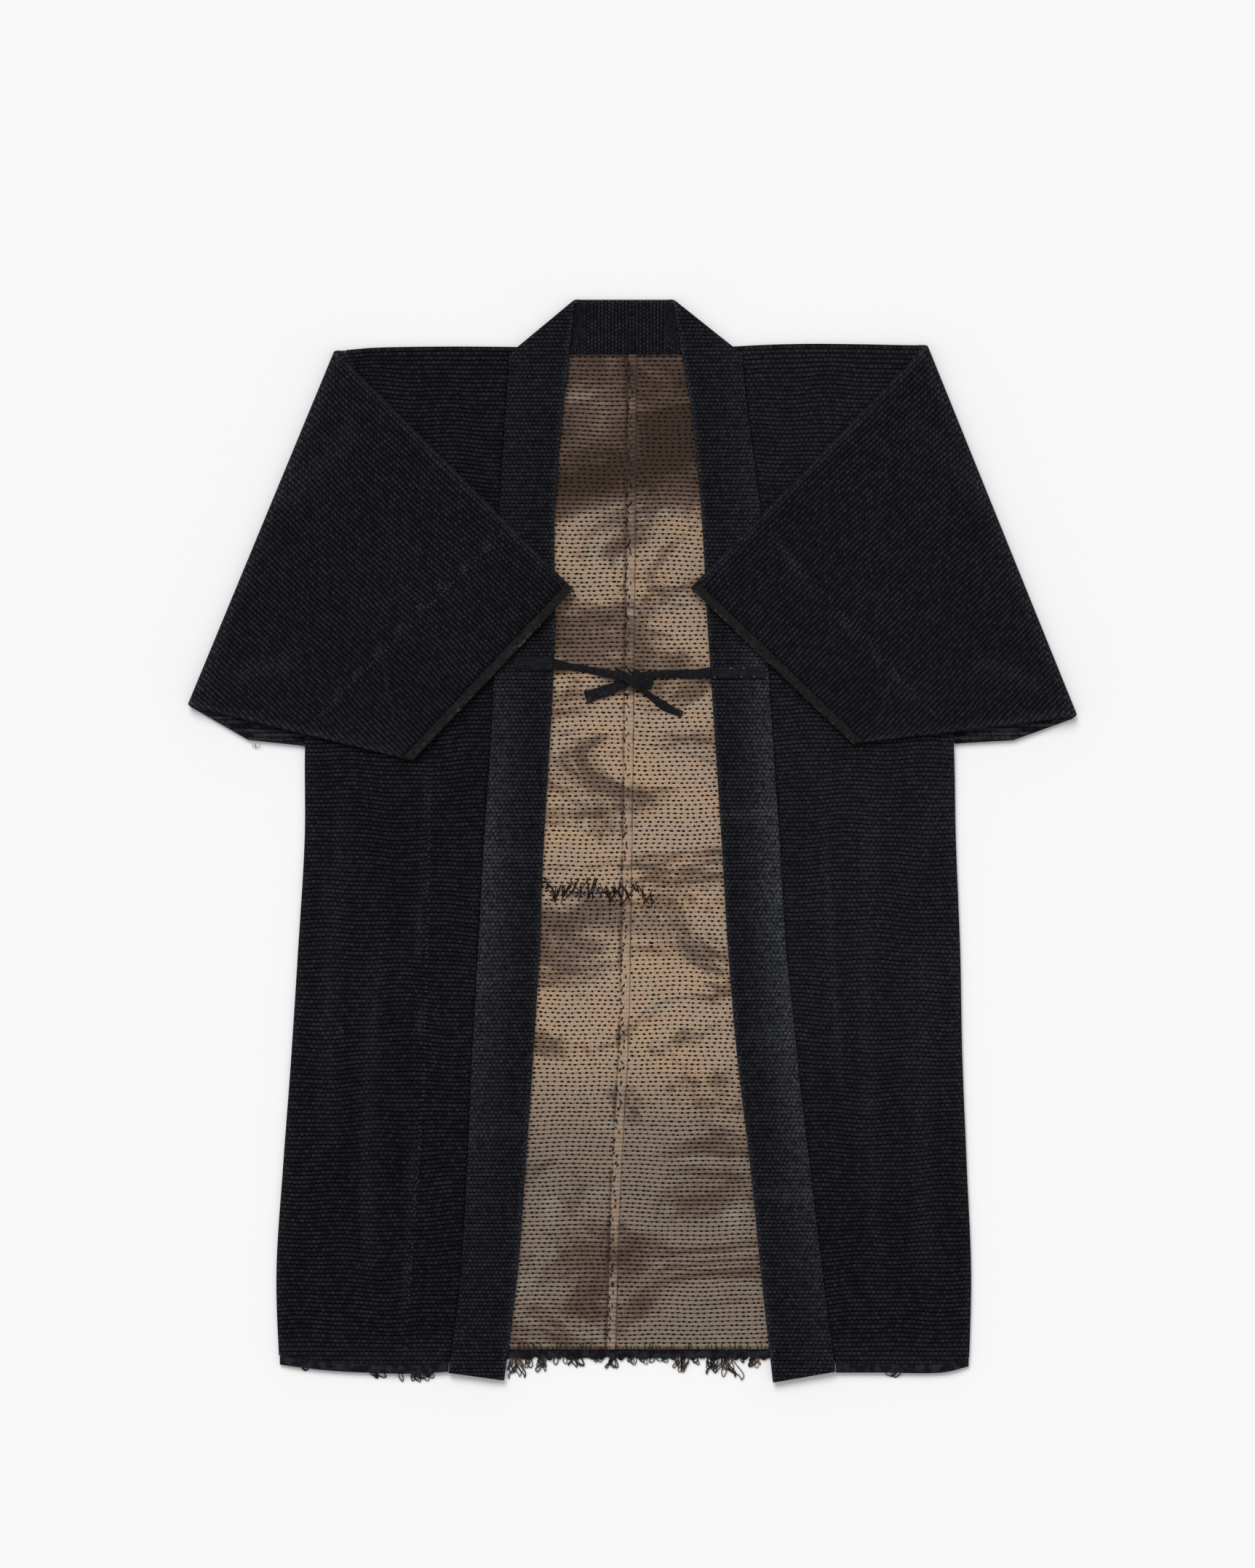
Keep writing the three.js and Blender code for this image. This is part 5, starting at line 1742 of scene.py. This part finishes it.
@dataclass
class Hems:
    """The overcast hems: a band wrapped in thread, worn into loops below."""

    band_material: Material
    loop_material: Material
    tan_thread: Material
    red_thread: Material
    wrap_pitch: float = 2.7
    back_height: float = 2.6

    # Tufts of loops below the back hem: place on X, loops, spread, length.
    back_tufts: ClassVar = (
        (-107, 6, 8, 16), (-96, 3, 12, 8), (-84, 5, 7, 13), (-66, 2, 10, 5), (-48, 5, 14, 8),
        (-30, 2, 8, 4), (-18, 4, 6, 8), (4, 5, 14, 5), (24, 3, 12, 4), (45, 6, 13, 12), (60, 2, 6, 6),
        (74, 6, 9, 13), (86, 6, 9, 17), (100, 2, 8, 5), (112, 4, 7, 9),
    )
    tan_tufts: ClassVar = ((-106, 2, 8, 12), (-88, 2, 6, 8), (46, 2, 10, 8), (80, 3, 12, 11), (114, 2, 4, 8))
    front_tufts: ClassVar = (
        (-205, 9, 26, 7), (-232, 4, 14, 5), (-186, 4, 9, 5), (-300, 2, 8, 4), (240, 3, 12, 4),
    )

    def wrapped(self, x: Array, upper: Array, lower: Array, low: Array, high: Array) -> Array:
        """Sections of a wrapped hem band along X.

        Args:
            x: places along the band.
            upper: its upper line.
            lower: its lower line.
            low: its underside.
            high: its upper side.

        Returns:
            A ring of points for each place.
        """
        angle = 2 * math.pi * (np.arange(14) + 0.5) / 14
        c, s = np.cos(angle), np.sin(angle)
        c, s = np.sign(c) * np.abs(c) ** 0.55, np.sign(s) * np.abs(s) ** 0.65
        wraps = 0.35 * ridges(x + 0.9 * np.sin(x / 7), self.wrap_pitch)
        half_width, half_height = (upper - lower) / 2 - 0.2, (high - low) / 2 - 0.25
        y = (upper + lower)[:, None] / 2 + (half_width + wraps)[:, None] * c
        z = (low + high)[:, None] / 2 + (half_height + wraps)[:, None] * s
        return stack(x[:, None], y, np.maximum(z, low[:, None]))

    def loops(self, tubes: Tubes, tufts: tuple, hem: Callable[[float], float], high: float,
              seed: int) -> None:
        """Adds tufts of thread loops.

        Args:
            tubes: the mesh that the loops join.
            tufts: the tufts' places, loops, spreads and lengths.
            hem: gives the hem's Y at a place on X.
            high: the height that the loops hang from.
            seed: the seed of their chance shapes.
        """
        luck = np.random.default_rng(seed).uniform
        for x, count, spread, length in tufts:
            for _ in range(count):
                root = x + luck(-0.5, 0.5) * spread
                reach = length * luck(0.5, 1.15)
                lean = luck(-0.7, 0.7) * reach
                gap = luck(1.0, 4.2)
                y = hem(root)
                dip = luck(0.5, 1.0)
                tubes.thread([
                    (root, y + 1.2, high), (root + 0.1 * lean - 0.6 * gap, y - 0.35 * reach, 0.7 * high),
                    (root + lean - 0.3 * gap, y - 0.8 * reach, dip + 0.2),
                    (root + lean + 0.2 * gap, y - reach, dip),
                    (root + lean + 0.8 * gap, y - 0.75 * reach, dip + 0.5),
                    (root + 0.4 * lean + gap, y - 0.3 * reach, 0.6 * high), (root + 0.9 * gap, y + 1.2, high),
                ], 1.3, luck(0.42, 0.72))

    def ticks(self, tubes: Tubes, places: Array, y: float, height: float, seed: int) -> None:
        """Adds short ends of overcast thread that reach up over the lining.

        Args:
            tubes: the mesh that they join.
            places: their places on X.
            y: the band's upper line.
            height: the lining's height.
            seed: the seed of their chance shapes.
        """
        luck = np.random.default_rng(seed).uniform
        for x in places:
            reach = luck(1.5, 6.5)
            lean = luck(-3.5, 3.5)
            tubes.thread([(x, y - 2.5, 2.4), (x + 0.3 * lean, y - 0.3, height + 0.3),
                          (x + lean, y + reach, height)], 1.0, luck(0.34, 0.6))

    def back(self) -> None:
        """The back hem."""
        ends = [s.sign * (float(s.side_edge(BACK_HEM_Y)) - LINING_INSET) for s in SIDES]
        x = np.arange(ends[0], ends[1], self.wrap_pitch / 4)
        flat = np.ones(len(x))
        tubes = Tubes()
        ragged = 1.3 * np.sin(x / 5.3) * np.sin(x / 2.1) + 0.6 * np.sin(x / 1.3)
        tubes.add(self.wrapped(x, LINING_EDGE_Y * flat, BACK_HEM_Y * flat + ragged, 0 * flat,
                               self.back_height * flat), 0.2)
        places = np.arange(-118, 132, 3.3)
        self.ticks(tubes, places + 0.9 * np.sin(np.arange(len(places))), LINING_EDGE_Y, 3.15, 3)
        piece = tubes.build("back_hem_threads", self.band_material)
        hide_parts("back_hem")
        loops = Tubes()
        self.loops(loops, self.back_tufts, lambda _: BACK_HEM_Y, 1.5, 7)
        loops.build("back_hem_loops", self.loop_material)
        tan = Tubes()
        self.loops(tan, self.tan_tufts, lambda _: BACK_HEM_Y, 1.6, 21)
        tan.build("back_hem_tan_loops", self.tan_thread)
        red = Tubes()
        for y, x_range, rhythm, crest, end, radius in (
                (LINING_EDGE_Y + 0.4, (-120, 132, 7.0), 1.0, (3.4, 0.7), (7.2, 0.1), 0.42),
                (NECK_SEAM_Y - 0.4, (-52, 42, 5.5), 1.7, (2.8, -1.2), (5.8, -0.2), 0.38)):
            for x in np.arange(*x_range):
                bow = 0.5 * math.sin(rhythm * x)
                red.thread([(x, y, 2.9), (x + crest[0], y + crest[1] + bow, 3.25),
                            (x + end[0], y + end[1], 2.9)], 1.0, radius)
        red.build("lining_edge_thread", self.red_thread)

    def front(self, side: SidePattern) -> None:
        """The hem of one front.

        Args:
            side: the half of the coat.
        """
        start = float(side.seam_edge(-488.0)) + SEAM_GAP
        end = float(side.side_edge(-480.0)) - SEAM_GAP
        across = np.arange(start, end, self.wrap_pitch / 4)
        lower = side.hem.read("across", across, "y")
        lift = side.swell(across, lower) - side.side_sink(across, lower)
        rings = self.wrapped(across, lower + HEM_BAND, lower, FRONT_LOW + lift, FRONT_HIGH + lift)
        rings[..., 0] *= side.sign
        tubes = Tubes()
        tubes.add(rings, 0.45)

        def hem_at(x: float) -> float:
            """The hem's lower line at a place on X."""
            return float(side.hem.read("across", abs(x), "y"))

        tufts = tuple(t for t in self.front_tufts if t[0] * side.sign > 0)
        self.loops(tubes, tufts, hem_at, FRONT_LOW + 1.0, 15 + side.sign)
        name = f"front_hem_{side.name}"
        piece = tubes.build(f"{name}_threads", self.band_material)
        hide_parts(name)

    def build(self) -> None:
        """Makes the three hems."""
        self.back()
        for side in SIDES:
            self.front(side)


@dataclass
class Mends:
    """The darned tear in the lining, the thread down the centre seam and loose ends elsewhere."""

    thread: Material
    blue_thread: Material
    pale_thread: Material
    seed: int = 5
    stray_flecks: ClassVar = ((-266, -174), (-210, -295), (-252, -390), (221, -240), (262, -330), (236, 20))

    # Where the darning crosses the tear: start, end, stitches, reach.
    tear: ClassVar = (
        ((-84, -39), (-72, -46), 7, 10), ((-74, -46), (-60, -48), 7, 13),
        ((-60, -44), (-32, -42), 12, 19), ((-30, -44), (-16, -46), 6, 9),
        ((-22, -48), (-2, -46), 12, 14), ((4, -44), (20, -54), 8, 12),
    )

    def darning(self) -> None:
        """Threads that cross the tear."""
        luck = np.random.default_rng(self.seed).uniform
        threads, blue = Tubes(), Tubes()
        for (x0, y0), (x1, y1), count, reach in self.tear:
            for t in np.linspace(0, 1, count):
                x = lerp(x0, x1, t) + luck(-1.5, 1.5)
                y = lerp(y0, y1, t) + luck(-3.0, 3.0)
                length = reach * luck(0.6, 1.3)
                lean = luck(-0.75, 0.7)
                dx, dy = 0.5 * length * math.sin(lean), 0.5 * length * math.cos(lean)
                bow = luck(-2.0, 2.0)
                tubes = blue if luck() < 0.2 else threads
                tubes.thread([(x - dx, y - dy, 2.9), (x + bow, y, 4.1), (x + dx, y + dy, 2.9)], 1.4,
                             luck(0.45, 0.8))
        for x, y in ((-78, -36), (-60, -42), (-22, -47), (-8, -58), (12, -60), (0, -41)):
            turn = luck(0, 6.3)
            ring = [(x + 2.6 * math.cos(turn + a), y + 1.6 * math.sin(turn + a), 3.4 + 0.4 * math.sin(2 * a))
                    for a in np.linspace(0, 4.9, 7)]
            threads.thread(ring, 1.0, 0.38)
        threads.build("mended_tear_threads", self.thread)
        blue.build("mended_tear_blue_threads", self.blue_thread)

    def centre_thread(self) -> None:
        """Uneven blue-black stitches down the seam allowance."""
        luck = np.random.default_rng(self.seed + 1).uniform
        threads = Tubes()
        for y in np.arange(-458, 444, 4.4) + luck(-1.6, 1.6, 205):
            centre = float(CENTRE_SEAM.read("y", y, "x"))
            x = centre - SEAM_STITCH_INSET + luck(-3.6, 1.6)
            reach = luck(0.5, 1.5)
            lean = luck(-1.0, 1.0)
            threads.thread([(x - lean, y - reach, 3.3), (x, y, 4.0), (x + lean, y + reach, 3.3)], 0.9,
                           luck(0.5, 0.95), 6)
        threads.build("centre_seam_stitches", self.blue_thread)

    def flecks(self) -> None:
        """Pale worn stitches down the right front and along the flaps, and a few flecks beside them."""
        luck = np.random.default_rng(self.seed + 3).uniform
        threads = Tubes()
        for y in np.arange(78.0, -470.0, -ROW_PITCH):
            x = float(np.interp(-y, (-82, 216, 471), (-185, -191, -208.7)))
            self.fleck(threads, luck, (x, y), FRONT_HIGH + ROW_HEIGHT, 0.0, 0.62)
        for x, y in self.stray_flecks:
            self.fleck(threads, luck, (x, y), FRONT_HIGH + ROW_HEIGHT, 0.0, 2.0)
        for side in SIDES:
            crease = next(c for c in FLAP_CREASES if c.start[0] * side.sign > 0)
            way = np.array(crease.end) - np.array(crease.start)
            long = float(np.hypot(*way))
            rows_angle = math.atan2(way[0], -way[1])
            for t in np.arange(4.0, long - 4.0, ROW_PITCH) / long:
                place = np.array(crease.start) + t * way
                self.fleck(threads, luck, tuple(place), FLAP_TOP + 0.4, rows_angle, 0.7)
        threads.build("worn_front_stitches", self.pale_thread)

    def fleck(self, threads: Tubes, luck: Callable[..., float], place: Point, level: float,
              angle: float, chance: float) -> None:
        """Adds one pale stitch, perhaps.

        Args:
            threads: the mesh that it joins.
            luck: where its chance shape comes from.
            place: its place in the coat's own X and Y.
            level: the cloth's height before its waves.
            angle: its direction, in radians.
            chance: how likely it is; above 1 it is certain and longer.
        """
        x, y = place[0] + luck(-0.8, 0.8), place[1]
        side = RIGHT if x < 0 else LEFT
        lift = side.flap_lift if level > FLAP_TOP else side.swell
        reach = luck(0.5, 1.1) * max(1.0, chance)
        turn = angle + luck(-0.4, 0.4)
        dx, dy = reach * math.cos(turn), reach * math.sin(turn)
        radius = luck(0.36, 0.56)
        if luck() > chance:
            return
        level = level + float(lift(abs(x), y))
        threads.thread([(x - dx, y - dy, level - 0.3), (x, y, level + 0.3),
                        (x + dx, y + dy, level - 0.3)], 0.7, radius)

    def loose_ends(self) -> None:
        """Worn loops under the arms and at the cuffs."""
        luck = np.random.default_rng(self.seed + 2).uniform
        threads = Tubes()
        places = ((-347, 89, 3.0, 2.5), (316, 94, 3.0, 3), (322, 95, 3.0, 2.5), (-205, 74, 8.0, 4),
                  (-99, 161, 11.0, 3))
        for x, y, z, reach in places:
            for _ in range(2):
                x0 = x + luck(-2.5, 2.5)
                gap = luck(1.5, 4.0)
                length = reach * luck(0.6, 1.1)
                threads.thread([(x0, y + 1, z), (x0 - 0.5, y - 0.5 * length, 0.7 * z),
                                (x0 + 0.5 * gap, y - length, 0.5 * z),
                                (x0 + gap, y - 0.5 * length, 0.7 * z), (x0 + gap, y + 1, z)], 1.0, 0.26)
        threads.build("loose_thread_ends", self.thread)

    def build(self) -> None:
        """Makes the mends."""
        self.darning()
        self.centre_thread()
        self.flecks()
        self.loose_ends()


@dataclass(frozen=True)
class Studio:
    """A pale floor, soft light from above and a camera that looks straight down."""

    sky_strength: float = 0.55
    sun_strength: float = 1.95
    sun_angle: float = 35.0
    sun_tilt: Point = (-38.0, -16.0)
    floor_size: float = 16.0
    floor_drop: float = 0.0003
    clip_end: float = 60.0

    def camera(self) -> None:
        """The camera, over the middle of the photograph's frame."""
        data = bpy.data.cameras.new("overhead_camera")
        data.lens = LONG_SIDE_SENSOR * CAMERA_HEIGHT / PHOTO_HEIGHT
        data.sensor_width = LONG_SIDE_SENSOR
        data.clip_end = self.clip_end
        camera = bpy.data.objects.new("overhead_camera", data)
        camera.location = (PHOTO_MIDDLE[0] * MM, PHOTO_MIDDLE[1] * MM, CAMERA_HEIGHT * MM)
        bpy.context.scene.collection.objects.link(camera)
        bpy.context.scene.camera = camera

    def light(self) -> None:
        """The sky and one broad sun."""
        sun_data = bpy.data.lights.new("broad_window", "SUN")
        sun_data.energy = self.sun_strength
        sun_data.angle = math.radians(self.sun_angle)
        sun = bpy.data.objects.new("broad_window", sun_data)
        sun.rotation_euler = (math.radians(self.sun_tilt[0]), math.radians(self.sun_tilt[1]), 0)
        bpy.context.scene.collection.objects.link(sun)
        world = bpy.data.worlds.new("white_room")
        world.use_nodes = True
        back = world.node_tree.nodes["Background"]
        back.inputs["Color"].default_value = (1, 1, 1, 1)
        back.inputs["Strength"].default_value = self.sky_strength
        bpy.context.scene.world = world
        bpy.context.scene.view_settings.view_transform = "Standard"

    def floor(self) -> None:
        """The floor."""
        for o in bpy.context.selected_objects:
            o.select_set(False)
        bpy.ops.mesh.primitive_plane_add(size=self.floor_size, location=(0, 0, -self.floor_drop))
        floor = bpy.context.active_object
        floor.name = "pale_floor"
        floor.data.materials.append(MattPaper().make())


def main() -> None:
    """Builds the coat, piece by piece."""
    logging.basicConfig(level=logging.INFO, format="%(message)s")
    studio = Studio()
    studio.camera()
    tie_tape = PlainTape("black_tie_tape", "#131316", "#1f1f23", "#353532").make()
    pale_thread = SpunThread("pale_sewing_thread", "#8f9298", "#5c5f66").make()
    Ties(tie_tape, pale_thread).build()
    LOG.info("ties made")
    # The third colour of each quilted cotton is painted shade for its sunk grooves.
    indigo = RowStitchedCotton("row_stitched_indigo_cotton", "#17161b", "#27272e", "#09090c", "#e6d8e0",
                               "#46484f", ROW_PITCH, 4.4).make()
    collar_cloth = RowStitchedCotton("row_stitched_collar_cotton", "#151519", "#27282e", "#08080a", "#e4e4ea",
                                     "#484a51", COLLAR_ROW_PITCH, 3.7).make()
    lining = InkWashedLining().make()
    stitch_thread = SpunThread("black_quilting_thread", "#120f0f", "#211917").make()
    binding = PlainTape("olive_black_binding", "#151516", "#212123", "#6f6750").make()
    for side in SIDES:
        BodyHalf(side, indigo).build()
        LiningHalf(side, lining, stitch_thread).build()
        SleeveHalf(side, indigo, binding).build()
    Collar(collar_cloth).build()
    LOG.info("cloth made")
    hem_thread = SpunThread("blue_black_hem_thread", "#131317", "#26262c").make()
    loop_thread = SpunThread("worn_hem_thread", "#18161a", "#382f28").make()
    tan_thread = SpunThread("tan_lining_thread", "#8d7358", "#5b4a3c").make()
    red_thread = SpunThread("red_brown_thread", "#5a2c22", "#33201c").make()
    blue_thread = SpunThread("blue_seam_thread", "#181e2c", "#2b2527").make()
    Hems(hem_thread, loop_thread, tan_thread, red_thread).build()
    faded_thread = SpunThread("faded_indigo_thread", "#4e525b", "#363941").make()
    Mends(stitch_thread, blue_thread, faded_thread).build()
    LOG.info("hems and mends made")
    studio.light()
    studio.floor()


if __name__ == "__main__":
    main()
